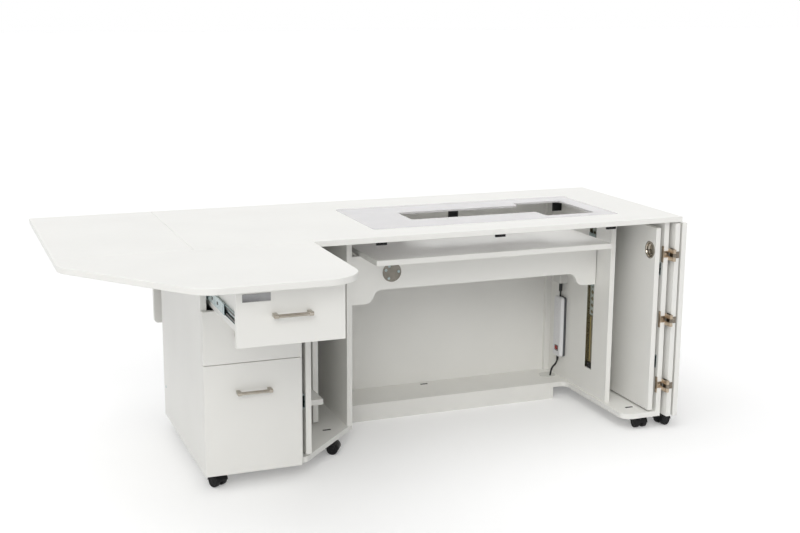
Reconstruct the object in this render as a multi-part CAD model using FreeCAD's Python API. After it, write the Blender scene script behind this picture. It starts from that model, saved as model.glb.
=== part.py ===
import FreeCAD, Part
import math
import os

from FreeCAD import Vector

os.makedirs("parts", exist_ok=True)

# Driving dimensions in millimetres

# Boards
board = 18.0
edge_chamfer = 1.0
same_place = 0.01
drawer_wall = 12.0
drawer_floor = 6.0

# Worktop and its three leaves
top_height = 750.0
top_length = 1658.0
top_depth = 683.0
seam_gap = 0.6
left_leaf_width = 397.0
front_leaf_depth = 500.0
front_leaf_reach = 360.0
front_leaf_shoulder = 107.0
front_leaf_slant = 309.0
shoulder_radius = 80.0
nose_radius = 95.0
elbow_radius = 110.0
back_leaf_drop = 370.0
back_leaf_corner = 14.0

# Opening for the machine, its clear insert and the clips below it
opening_left = 1060.0
opening_right = 175.0
opening_front = 118.0
opening_rear = 169.0
opening_corner = 12.0
insert_thickness = 6.0
insert_gap = 1.0
cutout_corner = 10.0
bed_left = 880.0
bed_front = 247.0
bed_back_gap = 129.0
column_left = 425.0
column_right = 240.0
column_front = 170.0
column_back_gap = 84.0
clip_width = 36.0
clip_leg = 8.0
clip_foot = 22.0
clip_foot_thickness = 4.0
clip_reach = 60.0
clip_inset = 27.0
clip_gap = 0.3

# Carcass, from the right end of the worktop to the left
right_side_inset = 34.0
right_bay_width = 98.0
knee_width = 920.0
left_bay_width = 224.0
pedestal_width = 310.0
pedestal_setback = 20.0
bay_setback = 24.0
left_wall_setback = 250.0
right_wall_setback = 172.0
back_overhang = 43.0
back_panel_inset = 25.0
caster_height = 44.0
batten_width = 21.0

# Base board and plinth
base_slant_start = 1316.0
base_tongue = 8.0
base_tongue_front = 270.0
base_centre_depth = 174.0
base_bay_overlap = 10.0
base_outer_corner = 40.0
base_inner_corner = 28.0
base_slant_corner = 20.0
plinth_right_inset = 62.0
rear_plinth_inset = 22.0
rear_plinth_lap = 5.0
slot_length = 26.0
slot_width = 7.0
slot_depth = 8.0
front_slots = ((1182.0, 237.0), (116.0, 94.0))
rear_slot = (690.0, 25.0)

# Telescopic slides of the drawers
slide_thickness = 12.7
drawer_slide_height = 35.0
drawer_slide_short = 20.0
slide_wall = 1.2
slide_gap = 0.3
outer_flange = 9.0
middle_web_offset = 4.5
middle_flange_end = 10.5
inner_flange_start = 6.2

# Slides of the pull-out boards and of the lift
wide_slide_height = 45.0
wide_slide_flange = 10.0
wide_inner_start = 2.5
pullout_slide_short = 114.0
pullout_slide_high = 183.0
pullout_slide_rise = 178.0

# Drawers: depth below the worktop of each front's top and bottom, and of its box
front_reveal = 8.0
drawer_back_gap = 77.0
drawer_kept_in = 100.0
front_base_gap = 2.0
drawer_base_gap = 6.0
front_tops = {"top": 22.0, "middle": 189.0, "bottom": 356.0}
front_bottoms = {"top": 187.0, "middle": 354.0}
box_tops = {"top": 62.0, "middle": 226.0, "bottom": 420.0}
box_bottoms = {"top": 179.0, "middle": 346.0}
handle_depths = {"top": 102.0, "middle": 267.0, "bottom": 444.0}
slide_above_floor = 41.0

# Bow handle
handle_centres = 96.0
handle_post_width = 13.0
handle_post_height = 11.0
handle_post_chamfer = 2.0
handle_projection = 28.0
handle_bar_radius = 5.0
handle_bar_sides = 12

# Lift platform and its carriage
platform_left_gap = 31.0
platform_right_gap = 41.0
platform_front = 100.0
platform_back_gap = 115.0
platform_depth = 97.0
carriage_gap = 3.0
apron_front = 265.0
apron_foot_drop = 163.0
apron_arch_drop = 118.0
apron_foot = 48.0
apron_curve_run = 60.0
carriage_back_gap = 175.0
rear_rail_height = 100.0
cover_disc_radius = 33.0
cover_disc_sides = 32
cover_disc_thickness = 2.0
cover_disc_from_left = 142.0
cover_disc_drop = 61.0

# Lift slides, let into grooves in the lift walls
lift_slide_centre = 299.5
lift_channel_top = 30.0
lift_channel_rise = 90.0
lift_groove_play = 0.5
lift_inner_top = 100.0
lift_inner_bottom = 290.0
cage_top = 64.0
cage_bottom = 400.0
cage_width = 30.0
cage_thickness = 0.8
cage_gap = 0.2
cage_window = 10.0
cage_window_pitch = 24.0

# Power strip, its rocker, leads and the lift drive
strip_back_gap = 143.0
strip_width = 55.0
strip_thickness = 23.0
strip_length = 228.0
strip_rise = 84.0
strip_corner = 10.0
outlet_count = 6
outlet_inset = 22.0
outlet_pitch = 27.0
outlet_slot_width = 2.4
outlet_slot_height = 7.0
outlet_slot_spacing = 12.7
outlet_hole_radius = 2.4
outlet_hole_drop = 9.0
outlet_hole_sides = 6
outlet_depth = 9.0
rocker_rise = 32.0
rocker_length = 13.0
rocker_width = 18.0
rocker_thickness = 7.0
rocker_tilt = 8.0
rocker_gap = 0.8
rocker_well_spare = 3.0
rocker_pin_radius = 1.5
rocker_pin_length = 3.0
rocker_pin_sides = 6
pin_play = 0.1
lead_diameter = 7.0
lead_sides = 12
lead_arc_share = 0.45
lead_wall_offset = 12.0
upper_lead_back_gap = 115.0
lower_lead_offset = 6.0
upper_bend = 0.3
lower_bend = 0.6
lead_hole_right = 5.0
lead_hole_front = 14.0
drive_back_gap = 141.0
drive_width = 56.0
drive_thickness = 30.0
drive_length = 130.0
plug_room = 56.0
drive_chamfer = 4.0
relief_length = 34.0
relief_radius = 6.5
plug_sides = 12
grommet_back_gap = 79.0
grommet_wall_offset = 38.0
grommet_flange_radius = 31.0
grommet_flange = 2.0
grommet_body_radius = 28.0
grommet_sides = 24

# Pull-out boards in the two bays
pullout_top = 40.0
pullout_base_gap = 6.0
pullout_front = 26.0
pullout_back_gap = 25.0
cup_radius = 30.0
cup_body_radius = 25.0
cup_flange = 1.5
cup_depth = 12.0
cup_wall = 1.2
cup_setback = 61.0
cup_drop = 120.0
cup_sides = 28
shelf_front = 195.0
shelf_rise = 123.0
shelf_width = 92.0
shelf_side_front = 305.0
shelf_side_top = 120.0

# Bifold door, folded back along the right side
door_board = 18.0
door_lap = 5.0
door_top_drop = 23.0
door_floor_gap = 46.0
hinge_leaf = 1.5
hinge_knuckle = 6.0
hinge_pin = 2.5
hinge_sides = 8
hinge_height = 40.0
hinge_strap = 22.0
hinge_side_plate = 56.0
hinge_side_reach = 10.0
hinge_leaf_width = 26.0
hinge_pin_setback = -5.0
hinge_edge_reach = 8.0
hinge_top_drop = 131.0
hinge_middle_drop = 358.0
hinge_bottom_rise = 112.0
fold_leaf = 1.2
fold_knuckle = 4.0
fold_pin = 1.8
fold_height = 60.0
fold_reach = 3.0
fold_leaf_width = 34.0
knuckle_play = 0.3

# Leaf hinges: butt hinges on the back leaf, flap hinges let into the other seams
butt_leaf = 1.2
butt_knuckle = 3.0
butt_pin = 1.4
butt_length = 60.0
butt_leaf_width = 38.0
butt_count = 3
butt_end_inset = 140.0
flap_radius = 6.0
flap_sides = 8
flap_length = 22.0
flap_count = 3
flap_end_inset = 58.0

# Twin-wheel casters
wheel_radius = 19.0
wheel_width = 17.0
wheel_chamfer = 2.5
wheel_sides = 20
wheel_gap = 0.5
hood_web = 10.0
hood_wall = 1.8
hood_gap = 1.0
hood_skirt = 1.0
axle_radius = 3.0
axle_boss = 8.0
swivel_offset = 15.0
flange_radius = 21.0
flange_thickness = 2.5
stem_radius = 4.0
stem_length = 12.0
stem_sides = 12
axle_sides = 8
swivel_gap = 0.3
pedestal_caster = (18.0, 54.0)
left_bay_caster = (84.0, 192.0)
right_bay_caster = (44.0, 74.0)
door_caster = 62.0

# Stations worked out from the sizes above
side_depth = top_depth - back_overhang
back_panel_setback = side_depth - back_panel_inset
base_drop = top_height - caster_height - board
door_width = side_depth + door_lap
hinge_gap = 2 * hinge_knuckle
fold_gap = 2 * fold_knuckle
caster_width = hood_web + 2 * (wheel_gap + wheel_width)
door_overhang = hinge_gap + fold_gap + 2 * door_board - right_side_inset
caster_overhang = flange_radius - door_board / 2
overall_width = left_leaf_width + seam_gap + top_length + door_overhang + caster_overhang
overall_depth = front_leaf_depth + seam_gap + top_depth + seam_gap / 2 + butt_knuckle + board

x_left = -overall_width / 2
x_leaf_edge = x_left + left_leaf_width
x_top_left = x_leaf_edge + seam_gap
x_right = x_top_left + top_length
y_leaf_front = -overall_depth / 2
y_leaf_back = y_leaf_front + front_leaf_depth
y_front = y_leaf_back + seam_gap
y_back = y_front + top_depth
z_under = top_height - board

side_outer = x_right - right_side_inset
side_inner = side_outer - board
right_wall_outer = side_inner - right_bay_width
right_wall_inner = right_wall_outer - board
left_wall_inner = right_wall_inner - knee_width
left_wall_outer = left_wall_inner - board
divider_right = left_wall_outer - left_bay_width
divider_left = divider_right - board
pedestal_left = divider_right - pedestal_width
pedestal_inner = pedestal_left + board

opening_back = top_depth - opening_rear
bed_back = opening_back - bed_back_gap
column_back = opening_back - column_back_gap
base_front_centre = back_panel_setback - base_centre_depth
rear_plinth_setback = back_panel_setback - rear_plinth_lap
platform_back = back_panel_setback - platform_back_gap
carriage_back = back_panel_setback - carriage_back_gap
lift_channel_bottom = base_drop - lift_channel_rise
drawer_depth = back_panel_setback - drawer_back_gap - board
drawer_open = drawer_depth - drawer_kept_in
drawer_slide_length = drawer_depth - drawer_slide_short
front_bottoms["bottom"] = base_drop + board - front_base_gap
box_bottoms["bottom"] = base_drop - drawer_base_gap
pullout_back = back_panel_setback - pullout_back_gap
pullout_bottom = base_drop - pullout_base_gap
pullout_slide_length = pullout_back - pullout_front - pullout_slide_short
pullout_slide_low = base_drop - pullout_slide_rise
shelf_top = base_drop - shelf_rise

y_panel = y_front + back_panel_setback
y_panel_back = y_panel + board
z_base_under = caster_height
z_base = z_base_under + board

hinge_x = side_outer + hinge_knuckle
hinge_y = y_front + hinge_pin_setback
door_inner_left = side_outer + hinge_gap
door_inner_right = door_inner_left + door_board
door_outer_left = door_inner_right + fold_gap
door_front = hinge_y + hinge_edge_reach
door_back = door_front + door_width
fold_x = (door_inner_right + door_outer_left) / 2
fold_y = door_back + fold_reach
z_door = door_floor_gap
z_door_top = top_height - door_top_drop
hinge_heights = (top_height - hinge_top_drop, top_height - hinge_middle_drop, z_door + hinge_bottom_rise)

back_pin_y = y_back + seam_gap / 2
back_pin_z = z_under - butt_knuckle

lift_groove_depth = slide_thickness - carriage_gap
carriage_left = left_wall_inner + carriage_gap
carriage_right = right_wall_inner - carriage_gap
z_platform_under = top_height - platform_depth - board

strip_front = back_panel_setback - strip_back_gap
strip_bottom = base_drop - strip_rise
strip_top = strip_bottom - strip_length
outlet_first = strip_top + outlet_inset
rocker_drop = strip_bottom - rocker_rise
drive_front = back_panel_setback - drive_back_gap
drive_bottom = strip_top - plug_room
drive_top = drive_bottom - drive_length
upper_lead_setback = back_panel_setback - upper_lead_back_gap
grommet_setback = back_panel_setback - grommet_back_gap
strip_face = right_wall_inner - strip_thickness
strip_middle = y_front + strip_front + strip_width / 2
lead_x = right_wall_inner - lead_wall_offset
grommet_x = right_wall_inner - grommet_wall_offset
grommet_y = y_front + grommet_setback
lead_hole_x = grommet_x + lead_hole_right
lead_hole_y = grommet_y - lead_hole_front


along_x = Vector(1, 0, 0)
along_y = Vector(0, 1, 0)
along_z = Vector(0, 0, 1)


def depth_z(depth):
    """Height above the floor of a point this far below the worktop's surface."""
    return top_height - depth


def block(x0, x1, y0, y1, z0, z1):
    """Square-edged board between two corners."""
    return Part.makeBox(x1 - x0, y1 - y0, z1 - z0, Vector(x0, y0, z0))


def eased(shape):
    """The same board with every edge broken by a small chamfer."""
    return shape.makeChamfer(edge_chamfer, shape.Edges)


def outline(corners):
    """Closed wire on Z = 0 through corners (x, y, radius), rounded by tangent arcs."""
    turns = []
    count = len(corners)
    for index in range(count):
        here = Vector(corners[index][0], corners[index][1], 0)
        before = Vector(corners[index - 1][0], corners[index - 1][1], 0)
        after = Vector(corners[(index + 1) % count][0], corners[(index + 1) % count][1], 0)
        radius = corners[index][2]
        back = (before - here).normalize()
        ahead = (after - here).normalize()
        if radius == 0:
            turns.append((here, None, here))
            continue
        half = back.getAngle(ahead) / 2
        reach = radius / math.tan(half)
        inward = (back + ahead).normalize()
        middle = here + inward * (radius / math.sin(half) - radius)
        turns.append((here + back * reach, middle, here + ahead * reach))
    edges = []
    for index in range(count):
        start, middle, end = turns[index]
        if middle is not None:
            edges.append(Part.Arc(start, middle, end).toShape())
        edges.append(Part.LineSegment(end, turns[(index + 1) % count][0]).toShape())
    return Part.Wire(edges)


def panel(corners, low, high):
    """Flat board with a rounded outline, from one height to another."""
    face = Part.Face(outline(corners))
    face.translate(Vector(0, 0, low))
    return face.extrude(Vector(0, 0, high - low))


def rectangle(x0, x1, y0, y1, radius):
    """Corners of a rectangle with equal rounded corners."""
    return [(x0, y0, radius), (x1, y0, radius), (x1, y1, radius), (x0, y1, radius)]


def rims_eased(shape, low, high):
    """The board with its upper and lower rims broken by a small chamfer."""
    rims = []
    for edge in shape.Edges:
        box = edge.BoundBox
        flat = box.ZLength < same_place
        if flat and min(abs(box.ZMin - low), abs(box.ZMin - high)) < same_place:
            rims.append(edge)
    return shape.makeChamfer(edge_chamfer, rims)


def rod(x, y, z, radius, length, direction):
    """Cylinder from a point along a direction."""
    return Part.makeCylinder(radius, length, Vector(x, y, z), direction)


def ring(middle, radius, direction, sides):
    """Many-sided flat face inside a radius, square to a direction."""
    first = along_z if direction.z == 0 else along_x
    second = direction.cross(first)
    corners = []
    for index in range(sides + 1):
        angle = 2 * math.pi * (index + 0.5) / sides
        corners.append(middle + first * (radius * math.cos(angle)) + second * (radius * math.sin(angle)))
    return Part.Face(Part.makePolygon(corners))


def prism(x, y, z, radius, length, direction, sides):
    """Many-sided rod inside a radius, for round parts that repeat."""
    return ring(Vector(x, y, z), radius, direction, sides).extrude(direction * length)


def channel(height, web, flange, length):
    """Rail of C section along +Y: web from X = web, open towards +X, centred on Z = 0."""
    half = height / 2
    lip = half - slide_wall
    inside = web + slide_wall
    corners = [(web, -half), (flange, -half), (flange, -lip), (inside, -lip)]
    corners += [(inside, lip), (flange, lip), (flange, half), (web, half), (web, -half)]
    wire = Part.makePolygon([Vector(x, 0, z) for x, z in corners])
    return Part.Face(wire).extrude(Vector(0, length, 0))


def hooked_channel(height, web_start, flange_start, length):
    """Rail of C section along +Y with its web on the far side, open towards X = 0."""
    half = height / 2
    lip = half - slide_wall
    end = web_start + slide_wall
    corners = [(flange_start, -half), (end, -half), (end, half), (flange_start, half)]
    corners += [(flange_start, lip), (web_start, lip), (web_start, -lip), (flange_start, -lip)]
    corners.append(corners[0])
    wire = Part.makePolygon([Vector(x, 0, z) for x, z in corners])
    return Part.Face(wire).extrude(Vector(0, length, 0))


def facing_left(shape):
    """The rail turned about its own length so that it opens towards -X."""
    turned = shape.copy()
    turned.rotate(Vector(0, 0, 0), along_y, 180)
    return turned


def moved(shape, x, y, z):
    """A copy of the shape shifted to a place."""
    copy = shape.copy()
    copy.translate(Vector(x, y, z))
    return copy


def upright(shape):
    """The rail stood on end, so that its length runs up Z."""
    turned = shape.copy()
    turned.rotate(Vector(0, 0, 0), along_x, 90)
    return turned


def keep(name, solids):
    """Write one node to its STEP file."""
    shape = solids[0] if len(solids) == 1 else Part.makeCompound(solids)
    shape.exportStep("parts/" + name + ".step")


def flap_holes(places, inward):
    """Cylinders of the flap hinges that are let into a seam edge, pointing into the board."""
    return [prism(place.x, place.y, place.z, flap_radius, flap_length, inward, flap_sides) for place in places]


def spread(first, last, count):
    """Evenly spaced stations from the first to the last."""
    step = (last - first) / (count - 1)
    return [first + step * index for index in range(count)]


# Flap hinges: halves face each other across the seams of the left and front leaves
flap_z = top_height - board / 2
left_seam_places = spread(y_front + flap_end_inset, y_back - flap_end_inset, flap_count)
front_seam_right = x_top_left + front_leaf_reach
front_seam_places = spread(x_top_left + flap_end_inset, front_seam_right - flap_end_inset, flap_count)
left_fixed = flap_holes([Vector(x_top_left, y, flap_z) for y in left_seam_places], along_x)
left_moving = flap_holes([Vector(x_leaf_edge, y, flap_z) for y in left_seam_places], -along_x)
front_fixed = flap_holes([Vector(x, y_front, flap_z) for x in front_seam_places], along_y)
front_moving = flap_holes([Vector(x, y_leaf_back, flap_z) for x in front_seam_places], -along_y)


def main_top():
    """Worktop board with the opening for the machine and bores for the flap hinges."""
    rim = panel(rectangle(x_top_left, x_right, y_front, y_back, 0), z_under, top_height)
    rim = rims_eased(rim, z_under, top_height)
    hole = rectangle(x_right - opening_left, x_right - opening_right,
                     y_front + opening_front, y_front + opening_back, opening_corner)
    rim = rim.cut(panel(hole, z_under - board, top_height + board))
    return rim.cut(left_fixed + front_fixed)


def front_leaf():
    """Front leaf: slanted to the left, with rounded nose, elbow and shoulder."""
    right = x_top_left + front_leaf_reach
    corners = [
        (x_left, y_leaf_back, 0),
        (x_left, y_leaf_back - front_leaf_shoulder, shoulder_radius),
        (x_left + front_leaf_slant, y_leaf_front, nose_radius),
        (right, y_leaf_front, elbow_radius),
        (right, y_leaf_back, 0),
    ]
    leaf = panel(corners, z_under, top_height)
    return rims_eased(leaf, z_under, top_height).cut(front_moving)


def left_leaf():
    """Left leaf, as deep as the worktop."""
    leaf = panel(rectangle(x_left, x_leaf_edge, y_front, y_back, 0), z_under, top_height)
    return rims_eased(leaf, z_under, top_height).cut(left_moving)


def back_leaf():
    """Back leaf, hanging from its hinges behind the worktop."""
    face_y = back_pin_y + butt_knuckle
    z_high = back_pin_z - seam_gap / 2
    corners = rectangle(x_top_left, x_right, -z_high, -z_high + back_leaf_drop, 0)
    corners[2] = (corners[2][0], corners[2][1], back_leaf_corner)
    corners[3] = (corners[3][0], corners[3][1], back_leaf_corner)
    leaf = rims_eased(panel(corners, 0, board), 0, board)
    leaf.rotate(Vector(0, 0, 0), along_x, -90)
    return moved(leaf, 0, face_y, 0)


def knuckle(x, y, z, radius, length, direction):
    """Solid knuckle of a hinge, or the pin that runs through it."""
    return prism(x, y, z, radius, length, direction, hinge_sides)


def bored(shape, x, y, z, pin, length, direction):
    """The hinge half cut so that the other half's pin turns in it."""
    return shape.cut(rod(x, y, z, pin + pin_play, length, direction)).removeSplitter()


def thirds(low, high):
    """Two outer spans and the middle span of a hinge's height, with play between them."""
    third = (high - low) / 3
    outer = [(low, low + third), (high - third, high)]
    middle = [(low + third + knuckle_play, high - third - knuckle_play)]
    return outer, middle


def door_hinges():
    """Wrap-round hinges: one half on the side panel, the other on the inner door panel."""
    fixed = []
    moving = []
    face_back = y_front + bay_setback
    for z in hinge_heights:
        low = z - hinge_height / 2
        high = z + hinge_height / 2
        strap_low = z - hinge_strap / 2
        strap_high = z + hinge_strap / 2
        outer, middle = thirds(low, high)
        plate = block(side_outer, side_outer + hinge_leaf, face_back - hinge_leaf,
                      face_back + hinge_leaf_width, low, high)
        strap = block(side_inner - hinge_leaf, side_outer, face_back - hinge_leaf, face_back,
                      strap_low, strap_high)
        hook = block(side_inner - hinge_leaf, side_inner, face_back - hinge_leaf, face_back + hinge_side_reach,
                     z - hinge_side_plate / 2, z + hinge_side_plate / 2)
        pieces = [strap, hook, knuckle(hinge_x, hinge_y, low, hinge_pin, hinge_height, along_z)]
        for start, end in outer:
            pieces.append(block(side_outer, side_outer + hinge_leaf, hinge_y, face_back, start, end))
            pieces.append(knuckle(hinge_x, hinge_y, start, hinge_knuckle, end - start, along_z))
        fixed.append(plate.fuse(pieces).removeSplitter())
        face = door_inner_left
        leaf = block(face - hinge_leaf, face, door_front - hinge_leaf, door_front + hinge_leaf_width, low, high)
        wrap = block(face, door_inner_right, door_front - hinge_leaf, door_front, strap_low, strap_high)
        start, end = middle[0]
        tongue = block(face - hinge_leaf, face, hinge_y, door_front, start, end)
        eye = knuckle(hinge_x, hinge_y, start, hinge_knuckle, end - start, along_z)
        half = leaf.fuse([wrap, tongue, eye])
        moving.append(bored(half, hinge_x, hinge_y, low, hinge_pin, hinge_height, along_z))
    return fixed, moving


def fold_hinges():
    """Butt hinges that join the two door panels at the back."""
    inner_half = []
    outer_half = []
    for z in hinge_heights:
        low = z - fold_height / 2
        high = low + fold_height
        outer, middle = thirds(low, high)
        plate = block(door_inner_right, door_inner_right + fold_leaf,
                      door_back - fold_leaf_width, door_back, low, high)
        pieces = [knuckle(fold_x, fold_y, low, fold_pin, fold_height, along_z)]
        for start, end in outer:
            pieces.append(block(door_inner_right, door_inner_right + fold_leaf, door_back, fold_y, start, end))
            pieces.append(knuckle(fold_x, fold_y, start, fold_knuckle, end - start, along_z))
        inner_half.append(plate.fuse(pieces).removeSplitter())
        plate = block(door_outer_left - fold_leaf, door_outer_left,
                      door_back - fold_leaf_width, door_back, low, high)
        start, end = middle[0]
        tongue = block(door_outer_left - fold_leaf, door_outer_left, door_back, fold_y, start, end)
        eye = knuckle(fold_x, fold_y, start, fold_knuckle, end - start, along_z)
        outer_half.append(bored(plate.fuse([tongue, eye]), fold_x, fold_y, low, fold_pin, fold_height, along_z))
    return inner_half, outer_half


def back_hinges():
    """Butt hinges under the worktop's back edge that carry the hanging leaf."""
    fixed = []
    moving = []
    for x in spread(x_top_left + butt_end_inset, x_right - butt_end_inset, butt_count):
        low = x - butt_length / 2
        high = x + butt_length / 2
        outer, middle = thirds(low, high)
        plate = block(low, high, back_pin_y - butt_leaf_width, y_back - butt_knuckle,
                      z_under - butt_leaf, z_under)
        pieces = [knuckle(low, back_pin_y, back_pin_z, butt_pin, butt_length, along_x)]
        for start, end in outer:
            pieces.append(knuckle(start, back_pin_y, back_pin_z, butt_knuckle, end - start, along_x))
            pieces.append(block(start, end, y_back - butt_knuckle, back_pin_y, z_under - butt_leaf, z_under))
        fixed.append(plate.fuse(pieces).removeSplitter())
        start, end = middle[0]
        face = back_pin_y + butt_knuckle
        eye = knuckle(start, back_pin_y, back_pin_z, butt_knuckle, end - start, along_x)
        ear = block(start, end, face - butt_leaf, face, back_pin_z - butt_knuckle, back_pin_z)
        leaf = block(low, high, face - butt_leaf, face, back_pin_z - butt_leaf_width, back_pin_z - butt_knuckle)
        moving.append(bored(leaf.fuse([ear, eye]), low, back_pin_y, back_pin_z, butt_pin, butt_length, along_x))
    return fixed, moving


def acrylic_insert():
    """Clear sheet that fills the opening round the machine's bed and column."""
    outer = rectangle(x_right - opening_left + insert_gap, x_right - opening_right - insert_gap,
                      y_front + opening_front + insert_gap, y_front + opening_back - insert_gap,
                      opening_corner - insert_gap)
    low = top_height - insert_thickness
    bed = x_right - bed_left
    left = x_right - column_left
    right = x_right - column_right
    hole = [
        (bed, y_front + bed_front, cutout_corner),
        (left, y_front + bed_front, cutout_corner),
        (left, y_front + column_front, cutout_corner),
        (right, y_front + column_front, cutout_corner),
        (right, y_front + column_back, cutout_corner),
        (left, y_front + column_back, cutout_corner),
        (left, y_front + bed_back, cutout_corner),
        (bed, y_front + bed_back, cutout_corner),
    ]
    sheet = panel(outer, low, top_height)
    return sheet.cut(panel(hole, low - board, top_height + board))


def insert_clips():
    """Plastic clips screwed under the worktop, reaching below the insert's edge."""
    clips = []
    left = x_right - opening_left + clip_inset
    right = x_right - opening_right - clip_inset
    z_seat = top_height - insert_thickness
    for x in spread(left, right, 3):
        for front in (True, False):
            edge = y_front + (opening_front if front else opening_back)
            sense = 1 if front else -1
            near = edge + sense * clip_gap
            leg = sorted((near, near + sense * clip_leg))
            foot = sorted((near, near - sense * clip_foot))
            x0 = x - clip_width / 2
            x1 = x + clip_width / 2
            upright_leg = block(x0, x1, leg[0], leg[1], depth_z(clip_reach), z_seat)
            plate = block(x0, x1, foot[0], foot[1], z_under - clip_foot_thickness, z_under)
            clips.append(upright_leg.fuse(plate).removeSplitter())
    return clips


def lift_walls():
    """Two boards beside the knee space, each grooved for a lift slide."""
    walls = []
    low = depth_z(lift_channel_bottom) - lift_groove_play
    half = wide_slide_height / 2 + lift_groove_play
    centre = y_front + lift_slide_centre
    sides = ((left_wall_outer, left_wall_setback), (right_wall_inner, right_wall_setback))
    for x, setback in sides:
        wall = block(x, x + board, y_front + setback, y_panel, z_base, z_under)
        if x == left_wall_outer:
            groove_x = left_wall_inner - lift_groove_depth
        else:
            groove_x = right_wall_inner
        groove = block(groove_x, groove_x + lift_groove_depth, centre - half, centre + half, low, z_under)
        walls.append(wall.cut(groove))
    return walls


def base_board():
    """Floor of the cabinet: slanted beside the knee space, set back in the middle."""
    tongue = left_wall_inner + base_tongue
    bay_edge = right_wall_inner - base_bay_overlap
    y_bay = y_front + bay_setback
    y_middle = y_front + base_front_centre
    corners = [
        (pedestal_inner, y_bay, 0),
        (x_right - base_slant_start, y_bay, base_slant_corner),
        (tongue, y_front + base_tongue_front, base_slant_corner),
        (tongue, y_middle, base_slant_corner),
        (bay_edge, y_middle, base_inner_corner),
        (bay_edge, y_bay, base_outer_corner),
        (side_inner, y_bay, 0),
        (side_inner, y_panel_back, 0),
        (pedestal_inner, y_panel_back, 0),
    ]
    plate = panel(corners, z_base_under, z_base)
    cuts = [prism(grommet_x, grommet_y, z_base_under, grommet_body_radius, board, along_z, grommet_sides)]
    slots = [(x_right - from_right, y_front + setback) for from_right, setback in front_slots]
    slots.append((x_right - rear_slot[0], y_panel - rear_slot[1]))
    for x, y in slots:
        cuts.append(block(x - slot_length / 2, x + slot_length / 2, y - slot_width / 2, y + slot_width / 2,
                          z_base - slot_depth, z_base))
    for x, y, _ in caster_places[:3]:
        cuts.append(stem_hole(x, y, z_base_under))
    return plate.cut(cuts)


def stem_hole(x, y, z):
    """Blind hole in which a caster's stem turns."""
    return rod(x, y, z, stem_radius + pin_play, stem_length + swivel_gap, along_z)


def plinth_boards():
    """Front and rear boards that stand on the floor under the base."""
    y_middle = y_front + base_front_centre
    y_rear = y_front + rear_plinth_setback
    front = block(left_wall_inner + base_tongue, right_wall_inner - plinth_right_inset,
                  y_middle, y_middle + board, 0, z_base_under)
    rear = block(pedestal_inner + rear_plinth_inset, side_inner - rear_plinth_inset,
                 y_rear, y_rear + board, 0, z_base_under)
    return [front, rear]


def corner_battens():
    """Upright battens in the back corners of the knee space."""
    battens = []
    for x in (left_wall_inner, right_wall_inner - batten_width):
        battens.append(block(x, x + batten_width, y_panel - board, y_panel, z_base, z_under))
    return battens


def wide_slide(length):
    """Two nested rails: one fixed, one moving."""
    inner_height = wide_slide_height - 2 * slide_wall - 2 * slide_gap
    outer = channel(wide_slide_height, 0, wide_slide_flange, length)
    inner = hooked_channel(inner_height, slide_thickness - slide_wall, wide_inner_start, length)
    return outer, inner


def drawer_slide():
    """Three nested rails of a full-extension drawer slide."""
    middle_height = drawer_slide_height - 2 * slide_wall - 2 * slide_gap
    inner_height = middle_height - 2 * slide_wall - 2 * slide_gap
    outer = channel(drawer_slide_height, 0, outer_flange, drawer_slide_length)
    middle = channel(middle_height, middle_web_offset, middle_flange_end, drawer_slide_length)
    inner = hooked_channel(inner_height, slide_thickness - slide_wall, inner_flange_start, drawer_slide_length)
    return outer, middle, inner


def slide_pair(rail, y, z):
    """The same rail on the left and right inner walls of the pedestal."""
    left = moved(rail, pedestal_inner, y, z)
    right = moved(facing_left(rail), divider_left, y, z)
    return [left, right]


def drawer_handle(y_face, z):
    """Bow handle: two square posts with broken corners, and a round bar between them."""
    centre = (pedestal_left + divider_right - front_reveal) / 2
    half = handle_centres / 2
    posts = []
    for x in (centre - half, centre + half):
        post = block(x - handle_post_width / 2, x + handle_post_width / 2, y_face - handle_projection, y_face,
                     z - handle_post_height / 2, z + handle_post_height / 2)
        free = [edge for edge in post.Edges if edge.BoundBox.YMin < y_face - handle_post_chamfer]
        posts.append(post.makeChamfer(handle_post_chamfer, free))
    bar_y = y_face - handle_projection + handle_bar_radius
    bar = prism(centre - half, bar_y, z, handle_bar_radius, handle_centres, along_x, handle_bar_sides)
    return bar.fuse(posts).removeSplitter()


def drawer(name, opened):
    """One drawer: front board, box of five boards, handle, and its slide rails."""
    y_face = y_front - opened
    y_box = y_face + board
    z_low = depth_z(front_bottoms[name])
    z_high = depth_z(front_tops[name])
    front = eased(block(pedestal_left, divider_right - front_reveal, y_face, y_box, z_low, z_high))
    x0 = pedestal_inner + slide_thickness
    x1 = divider_left - slide_thickness
    z0 = depth_z(box_bottoms[name])
    z1 = depth_z(box_tops[name])
    y_end = y_box + drawer_depth
    left = block(x0, x0 + drawer_wall, y_box, y_end, z0, z1)
    right = block(x1 - drawer_wall, x1, y_box, y_end, z0, z1)
    near = block(x0 + drawer_wall, x1 - drawer_wall, y_box, y_box + drawer_wall, z0, z1)
    far = block(x0 + drawer_wall, x1 - drawer_wall, y_end - drawer_wall, y_end, z0, z1)
    floor = block(x0 + drawer_wall, x1 - drawer_wall, y_box + drawer_wall, y_end - drawer_wall,
                  z0, z0 + drawer_floor)
    outer, middle, inner = drawer_slide()
    y_slide = y_front + pedestal_setback
    z_slide = z0 + slide_above_floor
    keep(name + "_drawer_front", [front])
    keep(name + "_drawer_box", [left, right, near, far, floor])
    keep(name + "_drawer_handle", [drawer_handle(y_face, depth_z(handle_depths[name]))])
    keep(name + "_drawer_slide_inner", slide_pair(inner, y_slide - opened, z_slide))
    keep(name + "_drawer_slide_middle", slide_pair(middle, y_slide - opened / 2, z_slide))
    return slide_pair(outer, y_slide, z_slide)


def lift_platform():
    """Shelf that carries the machine."""
    return eased(block(left_wall_inner + platform_left_gap, right_wall_inner - platform_right_gap,
                       y_front + platform_front, y_front + platform_back,
                       z_platform_under, z_platform_under + board))


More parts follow.
